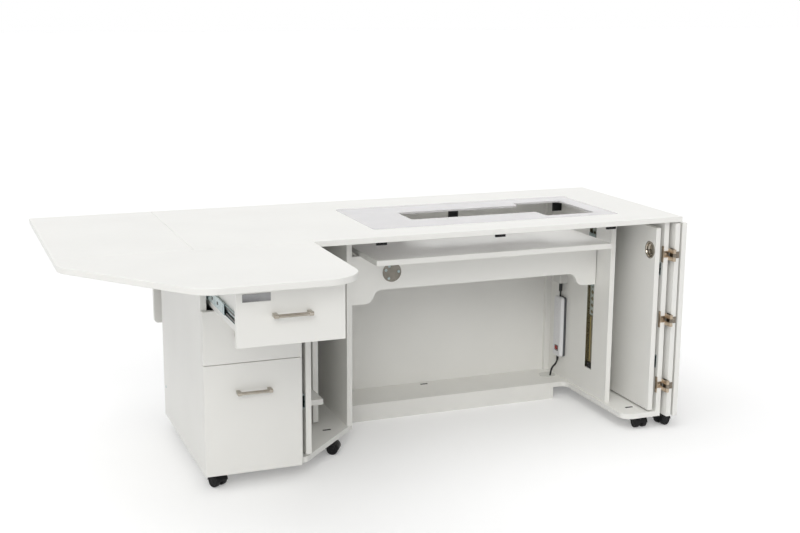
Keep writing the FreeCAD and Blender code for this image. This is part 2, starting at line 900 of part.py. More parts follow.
def ogee(x, z, run, rise):
    """Two tangent arcs that climb from a point by a run and a rise."""
    middle = Vector(x + run / 2, 0, z + rise / 2)
    start = Vector(x, 0, z)
    end = Vector(x + run, 0, z + rise)
    radius = (run * run + rise * rise) / (4 * abs(rise))
    half_turn = math.atan2(abs(rise), abs(run))
    sense = 1 if run > 0 else -1
    bow = radius * math.sin(half_turn)
    lift = radius * (1 - math.cos(half_turn))
    low_mid = Vector(x + sense * bow, 0, z + lift)
    high_mid = Vector(end.x - sense * bow, 0, end.z - lift)
    return [Part.Arc(start, low_mid, middle).toShape(), Part.Arc(middle, high_mid, end).toShape()]


def lift_carriage():
    """Apron with ogee feet, two sides and a rear rail, joined under the platform."""
    z_foot = z_platform_under - apron_foot_drop
    z_arch = z_platform_under - apron_arch_drop
    rise = z_arch - z_foot
    left_foot = carriage_left + apron_foot
    right_foot = carriage_right - apron_foot
    left_curve = ogee(left_foot, z_foot, apron_curve_run, rise)
    right_curve = ogee(right_foot, z_foot, -apron_curve_run, rise)
    arch_left = Vector(left_foot + apron_curve_run, 0, z_arch)
    arch_right = Vector(right_foot - apron_curve_run, 0, z_arch)
    corners = [
        Vector(right_foot, 0, z_foot),
        Vector(carriage_right, 0, z_foot),
        Vector(carriage_right, 0, z_platform_under),
        Vector(carriage_left, 0, z_platform_under),
        Vector(carriage_left, 0, z_foot),
        Vector(left_foot, 0, z_foot),
    ]
    edges = left_curve + [Part.LineSegment(arch_left, arch_right).toShape()] + right_curve[::-1]
    edges += [Part.LineSegment(a, b).toShape() for a, b in zip(corners[:-1], corners[1:])]
    profile = Part.Wire(Part.__sortEdges__(edges))
    apron = Part.Face(profile).extrude(Vector(0, board, 0))
    apron.translate(Vector(0, y_front + apron_front, 0))
    y_side = y_front + apron_front + board
    y_end = y_front + carriage_back
    left = block(carriage_left, carriage_left + board, y_side, y_end, z_foot, z_platform_under)
    right = block(carriage_right - board, carriage_right, y_side, y_end, z_foot, z_platform_under)
    rail = block(carriage_left + board, carriage_right - board, y_end - board, y_end,
                 z_platform_under - rear_rail_height, z_platform_under)
    return [apron, left, right, rail]


def lift_cover_disc():
    """Round steel plate on the apron."""
    x = carriage_left + cover_disc_from_left
    y = y_front + apron_front - cover_disc_thickness
    return prism(x, y, z_platform_under - cover_disc_drop, cover_disc_radius, cover_disc_thickness, along_y,
                 cover_disc_sides)


def lift_slide(which):
    """One member of the two upright lift slides: channel, inner rail or ball cage."""
    if which == "channel":
        low = depth_z(lift_channel_bottom)
        rail = wide_slide(lift_channel_bottom - lift_channel_top)[0]
    elif which == "inner":
        low = depth_z(lift_inner_bottom)
        rail = wide_slide(lift_inner_bottom - lift_inner_top)[1]
    else:
        low = depth_z(cage_bottom)
        rail = ball_cage(cage_bottom - cage_top)
    y = y_front + lift_slide_centre
    left = moved(upright(rail), left_wall_inner - lift_groove_depth, y, low)
    right = moved(upright(facing_left(rail)), right_wall_inner + lift_groove_depth, y, low)
    return [left, right]


def diamond(y, half, length):
    """Four-cornered prism along X, standing on a corner at Z = 0."""
    corners = [Vector(0, y - half, 0), Vector(0, y, -half), Vector(0, y + half, 0), Vector(0, y, half)]
    return Part.Face(Part.makePolygon(corners + corners[:1])).extrude(along_x * length)


def ball_cage(length):
    """Thin strip with a row of diamond windows, lying in the channel."""
    start = slide_wall + cage_gap
    half = cage_width / 2
    strip = block(start, start + cage_thickness, 0, length, -half, half)
    count = int(length / cage_window_pitch)
    first = (length - (count - 1) * cage_window_pitch) / 2
    stations = spread(first, length - first, count)
    return strip.cut([diamond(station, cage_window, slide_thickness) for station in stations])


def power_strip():
    """Housing of the power strip, with six outlets and the well for the rocker."""
    corners = rectangle(y_front + strip_front, y_front + strip_front + strip_width,
                        depth_z(strip_bottom), depth_z(strip_top), strip_corner)
    body = panel(corners, 0, strip_thickness)
    face_rim = []
    for edge in body.Edges:
        if edge.BoundBox.ZMin > strip_thickness - same_place:
            face_rim.append(edge)
    body = body.makeChamfer(strip_corner / 4, face_rim)
    body.rotate(Vector(0, 0, 0), Vector(1, 1, 1), 120)
    body = body.mirror(Vector(0, 0, 0), along_x)
    body = moved(body, right_wall_inner, 0, 0)
    cuts = []
    for index in range(outlet_count):
        z = depth_z(outlet_first + index * outlet_pitch)
        for side in (-1, 1):
            y = strip_middle + side * outlet_slot_spacing / 2
            cuts.append(block(strip_face, strip_face + outlet_depth,
                              y - outlet_slot_width / 2, y + outlet_slot_width / 2,
                              z - outlet_slot_height / 2, z + outlet_slot_height / 2))
        cuts.append(prism(strip_face, strip_middle, z - outlet_hole_drop, outlet_hole_radius, outlet_depth,
                          along_x, outlet_hole_sides))
    z = depth_z(rocker_drop)
    half_width = rocker_width / 2 + rocker_gap
    half_length = rocker_length / 2 + 2 * rocker_gap
    well_floor = strip_face + rocker_thickness + rocker_well_spare
    cuts.append(block(strip_face, well_floor, strip_middle - half_width,
                      strip_middle + half_width, z - half_length, z + half_length))
    pin_length = rocker_width + 2 * rocker_pin_length + rocker_gap
    cuts.append(rod(rocker_x, strip_middle - pin_length / 2, z, rocker_pin_radius + pin_play,
                    pin_length, along_y))
    return body.cut(cuts)


rocker_x = strip_face + rocker_thickness / 2


def strip_rocker():
    """Rocker of the strip's switch on its cross pin, tipped to one side."""
    z = depth_z(rocker_drop)
    key = block(strip_face - rocker_thickness / 4, strip_face + rocker_thickness,
                strip_middle - rocker_width / 2, strip_middle + rocker_width / 2,
                z - rocker_length / 2, z + rocker_length / 2)
    key.rotate(Vector(rocker_x, strip_middle, z), along_y, rocker_tilt)
    pin_length = rocker_width + 2 * rocker_pin_length
    pin = prism(rocker_x, strip_middle - pin_length / 2, z, rocker_pin_radius, pin_length, along_y,
                rocker_pin_sides)
    return key.fuse(pin).removeSplitter()


def cord(points, diameter):
    """Lead along straight runs joined by the largest tangent arcs, with a many-sided round section."""
    edges = []
    start = points[0]
    radii = []
    for before, here, after in zip(points[:-2], points[1:-1], points[2:]):
        back = before - here
        ahead = after - here
        reach = lead_arc_share * min(back.Length, ahead.Length)
        half = back.getAngle(ahead) / 2
        radius = reach * math.tan(half)
        radii.append(round(radius, 1))
        back.normalize()
        ahead.normalize()
        inward = (back + ahead).normalize()
        middle = here + inward * (radius / math.sin(half) - radius)
        first = here + back * reach
        last = here + ahead * reach
        edges.append(Part.LineSegment(start, first).toShape())
        edges.append(Part.Arc(first, middle, last).toShape())
        start = last
    edges.append(Part.LineSegment(start, points[-1]).toShape())
    path = Part.Wire(edges)
    down = (points[1] - points[0]).normalize()
    section = ring(points[0], diameter / 2, down, lead_sides)
    tube = path.makePipeShell([section.OuterWire], True, False)
    share = tube.Volume / (section.Area * path.Length)
    print("lead length", round(path.Length, 1), "radii", radii, "volume over section", round(share, 4))
    return tube


def power_lead():
    """Lead from the strip down to the grommet in the base."""
    z_strip = depth_z(strip_bottom)
    z_end = z_base - board / 2
    span = z_strip - z_end
    y_strip = strip_middle + lower_lead_offset
    return cord([
        Vector(lead_x, y_strip, z_strip),
        Vector(lead_x, y_strip, z_strip - upper_bend * span),
        Vector(lead_hole_x, lead_hole_y, z_strip - lower_bend * span),
        Vector(lead_hole_x, lead_hole_y, z_end),
    ], lead_diameter)


def drive_plug():
    """Moulded plug of the lift drive with its short stiff tail, standing on the power strip."""
    z_drive = depth_z(drive_bottom)
    y = y_front + upper_lead_setback
    tail = strip_top - drive_bottom - relief_length
    upright_tail = prism(lead_x, y, depth_z(strip_top), lead_diameter / 2, tail, along_z, plug_sides)
    relief = prism(lead_x, y, z_drive - relief_length, relief_radius, relief_length, along_z, plug_sides)
    return upright_tail.fuse(relief).removeSplitter()


def cable_grommet():
    """Round plastic cap in the base with a hole for the lead."""
    flange = prism(grommet_x, grommet_y, z_base, grommet_flange_radius, grommet_flange, along_z, grommet_sides)
    body = prism(grommet_x, grommet_y, z_base - board / 2, grommet_body_radius - pin_play, board / 2, along_z,
                 grommet_sides)
    hole = rod(lead_hole_x, lead_hole_y, z_base_under, lead_diameter / 2 + slide_gap, 2 * board, along_z)
    return flange.fuse(body).cut(hole).removeSplitter()


def lift_drive():
    """Housing of the lift's motor and gearbox, on the right lift wall behind the apron."""
    body = block(right_wall_inner - drive_thickness, right_wall_inner, y_front + drive_front,
                 y_front + drive_front + drive_width, depth_z(drive_bottom), depth_z(drive_top))
    upright_edges = []
    for edge in body.Edges:
        box = edge.BoundBox
        if box.ZLength > drive_chamfer and box.XMax < right_wall_inner - drive_chamfer:
            upright_edges.append(edge)
    return body.makeChamfer(drive_chamfer, upright_edges)


def right_pullout_board():
    """Pull-out board of the right bay, bored for the cup pull."""
    x1 = side_inner - slide_thickness
    plate = eased(block(x1 - board, x1, y_front + pullout_front, y_front + pullout_back,
                        depth_z(pullout_bottom), depth_z(pullout_top)))
    return plate.cut(prism(x1 - board, y_front + cup_setback, depth_z(cup_drop), cup_body_radius,
                           cup_depth, along_x, cup_sides))


def cup_pull():
    """Flush round pull: flange and dished cup let into the board."""
    x = side_inner - slide_thickness - board
    y = y_front + cup_setback
    z = depth_z(cup_drop)
    flange = prism(x - cup_flange, y, z, cup_radius, cup_flange, along_x, cup_sides)
    cup = prism(x, y, z, cup_body_radius - pin_play, cup_depth - pin_play, along_x, cup_sides)
    hollow = prism(x - cup_flange, y, z, cup_body_radius - cup_wall, cup_depth + cup_flange - 2 * cup_wall,
                   along_x, cup_sides)
    return flange.fuse(cup).cut(hollow).removeSplitter()


def left_pullout():
    """Pull-out board of the left bay with its shelf and the shelf's outer side."""
    x0 = divider_right + slide_thickness
    x1 = x0 + board
    y_end = y_front + pullout_back
    z_shelf = depth_z(shelf_top)
    plate = eased(block(x0, x1, y_front + pullout_front, y_end, depth_z(pullout_bottom), depth_z(pullout_top)))
    shelf = block(x1, x1 + shelf_width, y_front + shelf_front, y_end, z_shelf - board, z_shelf)
    side = block(x1 + shelf_width, x1 + shelf_width + board, y_front + shelf_side_front, y_end,
                 depth_z(pullout_bottom), depth_z(shelf_side_top))
    return [plate, shelf, side]


def pullout_slides(which):
    """Rails of the pull-out boards: fixed on the carcass, or moving with a board."""
    outer, inner = wide_slide(pullout_slide_length)
    y = y_front + pullout_front + board / 2
    rails = {"fixed": [], "left": [], "right": []}
    for drop in (pullout_slide_high, pullout_slide_low):
        z = depth_z(drop)
        rails["fixed"].append(moved(outer, divider_right, y, z))
        rails["fixed"].append(moved(facing_left(outer), side_inner, y, z))
        rails["left"].append(moved(inner, divider_right, y, z))
        rails["right"].append(moved(facing_left(inner), side_inner, y, z))
    return rails[which]


def door_panel(x0):
    """One panel of the bifold door."""
    return eased(block(x0, x0 + door_board, door_front, door_back, z_door, z_door_top))


caster_places = [
    (pedestal_inner + pedestal_caster[0], y_front + pedestal_caster[1], z_base_under),
    (left_wall_outer - left_bay_caster[0], y_front + left_bay_caster[1], z_base_under),
    (side_inner - right_bay_caster[0], y_front + right_bay_caster[1], z_base_under),
    (door_outer_left + door_board / 2, door_front + door_caster, z_door),
]
caster_names = ("pedestal", "left_bay", "right_bay", "door")
caster_turns = (30.0, 60.0, 0.0, -75.0)


def caster(x, y, z_seat, turn):
    """Hooded fork on its stem, and the pair of wheels on their axle, turned about the stem."""
    axle_y = y - swivel_offset
    clear = wheel_radius + hood_gap
    rim = clear + hood_wall
    left = x - caster_width / 2
    reach = 2 * rim
    space = prism(left, axle_y, wheel_radius, clear, caster_width, along_x, wheel_sides)
    roof = prism(left, axle_y, wheel_radius, rim, caster_width, along_x, wheel_sides).cut(space)
    roof = roof.cut(block(left - hood_wall, left + caster_width + hood_wall, axle_y - reach, axle_y + reach,
                          -reach, wheel_radius + hood_skirt))
    web = prism(x - hood_web / 2, axle_y, wheel_radius, rim, hood_web, along_x, wheel_sides)
    web = web.cut(block(x - hood_web, x + hood_web, axle_y - reach, axle_y + reach,
                        -reach, wheel_radius - axle_boss))
    flange_top = z_seat - swivel_gap
    flange = prism(x, y, flange_top - flange_thickness, flange_radius, flange_thickness, along_z, wheel_sides)
    neck = prism(x, y, wheel_radius, flange_radius / 2, flange_top - wheel_radius, along_z, stem_sides)
    neck = neck.cut(space)
    stem = prism(x, y, flange_top, stem_radius, stem_length, along_z, stem_sides)
    bore = rod(x - hood_web, axle_y, wheel_radius, axle_radius + pin_play, 2 * hood_web, along_x)
    fork = roof.fuse([web, neck, flange, stem]).cut(bore).removeSplitter()
    pair = prism(x - hood_web, axle_y, wheel_radius, axle_radius, 2 * hood_web, along_x, axle_sides)
    for start in (left, left + caster_width - wheel_width):
        wheel = prism(start, axle_y, wheel_radius, wheel_radius, wheel_width, along_x, wheel_sides)
        rims = [edge for edge in wheel.Edges if edge.BoundBox.XLength < wheel_chamfer]
        pair = pair.fuse(wheel.makeChamfer(wheel_chamfer, rims))
    pair = pair.removeSplitter()
    for shape in (fork, pair):
        shape.rotate(Vector(x, y, 0), along_z, turn)
    return fork, pair


def door_outer():
    """Outer door panel, bored for the stem of its caster."""
    x, y, z = caster_places[3]
    return door_panel(door_outer_left).cut(stem_hole(x, y, z))


# Fixed carcass
keep("main_top", [main_top()])
keep("left_side_panel", [block(pedestal_left, pedestal_inner, y_front + pedestal_setback, y_front + side_depth,
                               z_base_under, z_under)])
keep("drawer_divider", [block(divider_left, divider_right, y_front + pedestal_setback, y_panel,
                              z_base, z_under)])
keep("right_side_panel", [block(side_inner, side_outer, y_front + bay_setback, y_front + side_depth,
                                z_base_under, z_under)])
keep("lift_walls", lift_walls())
keep("back_panel", [block(pedestal_inner, side_inner, y_panel, y_panel_back, z_base, z_under)])
keep("base_board", [base_board()])
keep("plinth_and_battens", plinth_boards() + corner_battens())
keep("insert_clips", insert_clips())
keep("lift_drive", [lift_drive(), drive_plug()])
keep("power_strip", [power_strip()])
keep("power_lead", [power_lead()])
keep("cable_grommet", [cable_grommet()])

# Hinge leaves on the fixed carcass
back_fixed, back_moving = back_hinges()
hinge_fixed, hinge_moving = door_hinges()
fold_inner, fold_outer = fold_hinges()
keep("fixed_hinge_leaves", left_fixed + front_fixed + back_fixed + hinge_fixed)

# Leaves, insert and switch
keep("left_leaf", [left_leaf()])
keep("left_leaf_hinges", left_moving)
keep("front_leaf", [front_leaf()])
keep("front_leaf_hinges", front_moving)
keep("back_leaf", [back_leaf()])
keep("back_leaf_hinges", back_moving)
keep("acrylic_insert", [acrylic_insert()])
keep("strip_rocker", [strip_rocker()])

# Drawers, the top one pulled out
fixed_rails = drawer("top", drawer_open)
fixed_rails += drawer("middle", 0)
fixed_rails += drawer("bottom", 0)
fixed_rails += pullout_slides("fixed")
fixed_rails += lift_slide("channel")
keep("slide_outer_members", fixed_rails)

# Lift
keep("lift_platform", [lift_platform()])
keep("lift_carriage", lift_carriage())
keep("lift_cover_disc", [lift_cover_disc()])
keep("lift_slide_inner", lift_slide("inner"))
keep("lift_slide_cages", lift_slide("cage"))

# Pull-out boards
keep("right_pullout_board", [right_pullout_board()])
keep("right_pullout_cup_pull", [cup_pull()])
keep("right_pullout_slides", pullout_slides("right"))
keep("left_pullout", left_pullout())
keep("left_pullout_slides", pullout_slides("left"))

# Bifold door
keep("door_inner_panel", [door_panel(door_inner_left)])
keep("door_inner_hinges", hinge_moving + fold_inner)
keep("door_outer_panel", [door_outer()])
keep("door_outer_hinges", fold_outer)

# Casters
for name, place, turn in zip(caster_names, caster_places, caster_turns):
    fork_shape, wheel_pair = caster(place[0], place[1], place[2], turn)
    keep(name + "_caster_fork", [fork_shape])
    keep(name + "_caster_wheels", [wheel_pair])
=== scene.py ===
import math

import bmesh
import bpy
from mathutils import Matrix, Vector


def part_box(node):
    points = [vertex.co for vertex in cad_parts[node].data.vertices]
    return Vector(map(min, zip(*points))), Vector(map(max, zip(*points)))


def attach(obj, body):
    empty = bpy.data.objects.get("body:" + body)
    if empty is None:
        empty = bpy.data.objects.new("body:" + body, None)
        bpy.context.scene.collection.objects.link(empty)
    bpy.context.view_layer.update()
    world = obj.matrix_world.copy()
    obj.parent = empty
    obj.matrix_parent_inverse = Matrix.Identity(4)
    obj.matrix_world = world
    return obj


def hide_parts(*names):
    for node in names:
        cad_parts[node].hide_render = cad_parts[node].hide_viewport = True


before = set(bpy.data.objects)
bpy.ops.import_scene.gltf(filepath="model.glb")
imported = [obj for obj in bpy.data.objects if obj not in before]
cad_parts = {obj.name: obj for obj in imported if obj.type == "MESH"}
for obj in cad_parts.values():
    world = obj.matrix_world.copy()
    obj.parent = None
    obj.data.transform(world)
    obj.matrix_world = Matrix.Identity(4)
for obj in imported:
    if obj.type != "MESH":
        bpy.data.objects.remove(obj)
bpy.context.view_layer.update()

# The carcass: sides, divider, lift walls, back, base, plinth and battens.
# All are chipboard faced with white melamine, which has a fine pearl
# texture. They are dowelled and screwed together.


def shader_of(material):
    return material.node_tree.nodes["Principled BSDF"]


def start_finish(name, metallic=0.0):
    material = bpy.data.materials.new(name)
    material.use_nodes = True
    shader_of(material).inputs["Metallic"].default_value = metallic
    return material


def add_noise(material, scale, detail, stretch=(1.0, 1.0, 1.0)):
    """Noise that is fixed to the piece."""
    nodes = material.node_tree.nodes
    links = material.node_tree.links
    place = nodes.new("ShaderNodeTexCoord")
    mapping = nodes.new("ShaderNodeMapping")
    mapping.inputs["Scale"].default_value = stretch
    noise = nodes.new("ShaderNodeTexNoise")
    noise.inputs["Scale"].default_value = scale
    noise.inputs["Detail"].default_value = detail
    links.new(place.outputs["Object"], mapping.inputs["Vector"])
    links.new(mapping.outputs["Vector"], noise.inputs["Vector"])
    return noise.outputs["Fac"]


def add_tone(material, mottle, dark, light):
    """Colour that wanders between a dark and a light tone."""
    darkest_at = 0.32
    lightest_at = 0.68
    links = material.node_tree.links
    ramp = material.node_tree.nodes.new("ShaderNodeValToRGB")
    ramp.color_ramp.elements[0].position = darkest_at
    ramp.color_ramp.elements[0].color = (*dark, 1.0)
    ramp.color_ramp.elements[1].position = lightest_at
    ramp.color_ramp.elements[1].color = (*light, 1.0)
    links.new(add_noise(material, *mottle), ramp.inputs["Fac"])
    links.new(ramp.outputs["Color"], shader_of(material).inputs["Base Color"])


def add_gloss_change(material, scuff, smooth, dull):
    """Roughness that wanders between a smooth and a dull value."""
    smoothest_at = 0.3
    dullest_at = 0.7
    links = material.node_tree.links
    spread = material.node_tree.nodes.new("ShaderNodeMapRange")
    spread.inputs["From Min"].default_value = smoothest_at
    spread.inputs["From Max"].default_value = dullest_at
    spread.inputs["To Min"].default_value = smooth
    spread.inputs["To Max"].default_value = dull
    links.new(add_noise(material, *scuff), spread.inputs["Value"])
    links.new(spread.outputs["Result"], shader_of(material).inputs["Roughness"])


def add_relief(material, grain, strength):
    """Fine bumps all over the surface."""
    relief_depth = 0.0002
    links = material.node_tree.links
    bump = material.node_tree.nodes.new("ShaderNodeBump")
    bump.inputs["Strength"].default_value = strength
    bump.inputs["Distance"].default_value = relief_depth
    links.new(add_noise(material, *grain), bump.inputs["Height"])
    links.new(bump.outputs["Normal"], shader_of(material).inputs["Normal"])


def make_finish(name, tones, mottle, gloss, scuff, metallic=0.0):
    """Material with a range of tones and a range of roughness.

    Mottle and scuff are the scale, the detail and, if any, the stretch of a noise.
    """
    material = start_finish(name, metallic)
    add_tone(material, mottle, *tones)
    add_gloss_change(material, scuff, *gloss)
    return material


def give_finish(material, *names):
    for name in names:
        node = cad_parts[name]
        node.data.materials.clear()
        node.data.materials.append(material)


melamine = make_finish("white_melamine", tones=((0.846, 0.841, 0.812), (0.868, 0.863, 0.833)),
                       mottle=(5.0, 3.0), gloss=(0.38, 0.48), scuff=(40.0, 4.0))
add_relief(melamine, grain=(620.0, 2.0), strength=0.10)
give_finish(melamine, "left_side_panel", "drawer_divider", "right_side_panel", "lift_walls",
            "back_panel", "base_board", "plinth_and_battens")

# Small fittings of the carcass: a plated screw through the left side into the
# back panel, and black nylon liners with thin rims, pressed into the slots of
# the base board as painted shade for the dark inside the slots.


def make_piece(name, shape, material, body):
    """Finished mesh on one of the bodies."""
    sharp_angle = math.radians(32.0)
    mesh = bpy.data.meshes.new(name)
    shape.to_mesh(mesh)
    shape.free()
    mesh.materials.append(material)
    mesh.shade_smooth()
    mesh.set_sharp_from_angle(angle=sharp_angle)
    piece = bpy.data.objects.new(name, mesh)
    bpy.context.scene.collection.objects.link(piece)
    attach(piece, body)
    return piece


def add_slab(shape, corner, opposite, ease):
    """Block between two opposite corners with every edge rounded."""
    made = bmesh.ops.create_cube(shape, size=1.0)
    size = [abs(end - start) for start, end in zip(corner, opposite)]
    middle = (Vector(corner) + Vector(opposite)) / 2
    bmesh.ops.scale(shape, vec=size, verts=made["verts"])
    bmesh.ops.translate(shape, vec=middle, verts=made["verts"])
    edges = list({edge for vert in made["verts"] for edge in vert.link_edges})
    bmesh.ops.bevel(shape, geom=edges, offset=ease, affect="EDGES", segments=3, profile=0.5, material=-1)


def add_turned(shape, profile, place):
    """Solid of revolution from (radius, height) points about Z, put in its place."""
    before = set(shape.verts)
    line = [shape.verts.new((radius, 0.0, height)) for radius, height in profile]
    edges = [shape.edges.new(ends) for ends in zip(line[:-1], line[1:])]
    bmesh.ops.spin(shape, geom=line + edges, cent=(0.0, 0.0, 0.0), axis=(0.0, 0.0, 1.0),
                   angle=2 * math.pi, steps=40, use_merge=True)
    fresh = [vert for vert in shape.verts if vert not in before]
    bmesh.ops.remove_doubles(shape, verts=fresh, dist=0.000001)
    fresh = [vert for vert in shape.verts if vert not in before]
    faces = list({face for vert in fresh for face in vert.link_faces})
    bmesh.ops.recalc_face_normals(shape, faces=faces)
    bmesh.ops.transform(shape, matrix=place, verts=fresh)


def aim(direction):
    """Turn that brings the Z axis to a direction."""
    return Vector((0.0, 0.0, 1.0)).rotation_difference(Vector(direction)).to_matrix().to_4x4()


def add_screw(shape, seat, outward, radius):
    """Pan head with a round driver recess, standing on its seat."""
    height = radius * 0.5
    recess = radius * 0.4
    recess_foot = recess * 0.9
    recess_floor = height * 0.4
    crown = radius * 0.75
    shoulder = radius * 0.94
    shoulder_height = height * 0.7
    side_height = height * 0.3
    profile = [(0.0, recess_floor), (recess_foot, recess_floor), (recess, height), (crown, height),
               (shoulder, shoulder_height), (radius, side_height), (radius, 0.0), (0.0, 0.0)]
    add_turned(shape, profile, Matrix.Translation(seat) @ aim(outward))


zinc_tones = ((0.33, 0.42, 0.43), (0.50, 0.57, 0.57))
zinc = make_finish("zinc_plated_steel", tones=zinc_tones, mottle=(25.0, 4.0),
                   gloss=(0.22, 0.40), scuff=(200.0, 3.0), metallic=1.0)
black_nylon = make_finish("black_nylon", tones=((0.005, 0.005, 0.006), (0.012, 0.012, 0.013)),
                          mottle=(120.0, 3.0), gloss=(0.36, 0.55), scuff=(300.0, 3.0))
add_relief(black_nylon, grain=(1500.0, 2.0), strength=0.12)
shader_of(black_nylon).inputs["Specular IOR Level"].default_value = 0.25

worktop_low, worktop_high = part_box("main_top")
side_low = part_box("left_side_panel")[0]
side_screw_back = 0.606
side_screw_drop = 0.598
side_screw_radius = 0.0040
side_screw = bmesh.new()
side_screw_seat = (side_low.x, worktop_low.y + side_screw_back, worktop_high.z - side_screw_drop)
add_screw(side_screw, side_screw_seat, (-1, 0, 0), side_screw_radius)
make_piece("side_panel_screw", side_screw, zinc, "cabinet")

base_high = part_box("base_board")[1]
# Black liners in the base's slots: painted shade for the dark inside them.
shade_liner_places = ((0.690, 0.590), (1.182, 0.237), (0.116, 0.094))
shade_liner_length = 0.0254
shade_liner_width = 0.0064
shade_liner_depth = 0.0075
shade_liner_ease = 0.0006
rim_reach = 0.0014
rim_proud = 0.0008
rim_ease = 0.0003
half_length = shade_liner_length / 2
half_width = shade_liner_width / 2
rim_x = half_length + rim_reach
rim_y = half_width + rim_reach
shade_liners = bmesh.new()
for from_right, from_front in shade_liner_places:
    shade_liner_x = worktop_high.x - from_right
    shade_liner_y = worktop_low.y + from_front
    add_slab(shade_liners, (shade_liner_x - half_length, shade_liner_y - half_width, base_high.z - shade_liner_depth),
             (shade_liner_x + half_length, shade_liner_y + half_width, base_high.z), shade_liner_ease)
    add_slab(shade_liners, (shade_liner_x - rim_x, shade_liner_y - rim_y, base_high.z),
             (shade_liner_x + rim_x, shade_liner_y + rim_y, base_high.z + rim_proud), rim_ease)
make_piece("base_slot_shade_liners", shade_liners, black_nylon, "cabinet")

# The worktop and its three leaves: white melamine boards with eased edges. The
# left and front leaves fold over on brass flap hinges in the seams, and the
# back leaf hangs from butt hinges under the worktop's back edge.
give_finish(melamine, "main_top", "left_leaf", "front_leaf", "back_leaf")

brass = make_finish("satin_brass", tones=((0.44, 0.35, 0.255), (0.62, 0.52, 0.41)), mottle=(60.0, 4.0),
                    gloss=(0.26, 0.44), scuff=(260.0, 3.0), metallic=1.0)
give_finish(brass, "fixed_hinge_leaves", "left_leaf_hinges", "front_leaf_hinges", "back_leaf_hinges")

leaf_low, leaf_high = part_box("back_leaf")
leaf_screw_end = 0.032
leaf_screw_rise = 0.035
leaf_screw_radius = 0.0040
leaf_screws = bmesh.new()
for leaf_screw_x in (leaf_low.x + leaf_screw_end, leaf_high.x - leaf_screw_end):
    leaf_screw_seat = (leaf_screw_x, leaf_low.y, leaf_low.z + leaf_screw_rise)
    add_screw(leaf_screws, leaf_screw_seat, (0, -1, 0), leaf_screw_radius)
make_piece("back_leaf_screws", leaf_screws, zinc, "back_leaf")

# The clear insert: a polished acrylic sheet with a stepped cut-out. It rests on
# six moulded clips of black nylon, each hooked round the edge of the opening
# and screwed to the worktop's underside.
acrylic = make_finish("clear_acrylic", tones=((0.79, 0.775, 0.785), (0.84, 0.825, 0.835)),
                      mottle=(9.0, 2.0), gloss=(0.04, 0.09), scuff=(30.0, 3.0))
shader_of(acrylic).inputs["Transmission Weight"].default_value = 0.45
shader_of(acrylic).inputs["IOR"].default_value = 1.49
give_finish(acrylic, "acrylic_insert")

clip_low, clip_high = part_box("insert_clips")
clip_half = 0.018
clip_foot = 0.022
clip_leg = 0.008
clip_plate = 0.004
clip_trim = 0.008
clip_ease = 0.0010
clip_screw_in = 0.010
clip_screw_radius = 0.0035
clips = bmesh.new()
clip_screws = bmesh.new()
for clip_x in (clip_low.x + clip_half, (clip_low.x + clip_high.x) / 2, clip_high.x - clip_half):
    for sense, foot_end in ((1, clip_low.y), (-1, clip_high.y)):
        bend = foot_end + sense * clip_foot
        add_slab(clips, (clip_x - clip_half, bend, clip_low.z + clip_trim),
                 (clip_x + clip_half, bend + sense * clip_leg, clip_high.z), clip_ease)
        add_slab(clips, (clip_x - clip_half, foot_end, worktop_low.z - clip_plate),
                 (clip_x + clip_half, bend + sense * clip_leg / 2, worktop_low.z), clip_ease)
        clip_screw_seat = (clip_x, foot_end + sense * clip_screw_in, worktop_low.z - clip_plate)
        add_screw(clip_screws, clip_screw_seat, (0, 0, -1), clip_screw_radius)
hooked_clips = make_piece("hooked_insert_clips", clips, black_nylon, "cabinet")
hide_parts("insert_clips")
make_piece("insert_clip_screws", clip_screws, zinc, "cabinet")

# The three drawers: white fronts and boxes on telescopic slides of zinc-plated
# steel, each with a satin nickel bow handle screwed on from inside.
give_finish(melamine, "top_drawer_front", "middle_drawer_front", "bottom_drawer_front",
            "top_drawer_box", "middle_drawer_box", "bottom_drawer_box")
give_finish(zinc, "top_drawer_slide_inner", "top_drawer_slide_middle",
            "middle_drawer_slide_inner", "middle_drawer_slide_middle",
            "bottom_drawer_slide_inner", "bottom_drawer_slide_middle")

nickel = make_finish("satin_nickel", tones=((0.36, 0.325, 0.275), (0.50, 0.46, 0.40)), mottle=(14.0, 3.0),
                     gloss=(0.05, 0.12), scuff=(160.0, 4.0, (0.15, 1.0, 1.0)), metallic=1.0)
add_relief(nickel, grain=(900.0, 2.0, (0.06, 1.0, 1.0)), strength=0.05)
handle_post = 0.013
handle_bar = 0.0050
handle_ease = 0.0020
along_x = Matrix.Rotation(math.pi / 2, 4, "Y")
for drawer in ("top_drawer", "middle_drawer", "bottom_drawer"):
    low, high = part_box(drawer + "_handle")
    span = high.x - low.x - handle_post
    handle = bmesh.new()
    for post_x in (low.x, high.x - handle_post):
        add_slab(handle, (post_x, low.y, low.z), (post_x + handle_post, high.y, high.z), handle_ease)
    bar_start = Matrix.Translation((low.x + handle_post / 2, low.y + handle_bar, (low.z + high.z) / 2))
    bar_profile = [(0.0, 0.0), (handle_bar, 0.0), (handle_bar, span), (0.0, span)]
    add_turned(handle, bar_profile, bar_start @ along_x)
    bow = make_piece(drawer + "_bow", handle, nickel, drawer)
    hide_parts(drawer + "_handle")
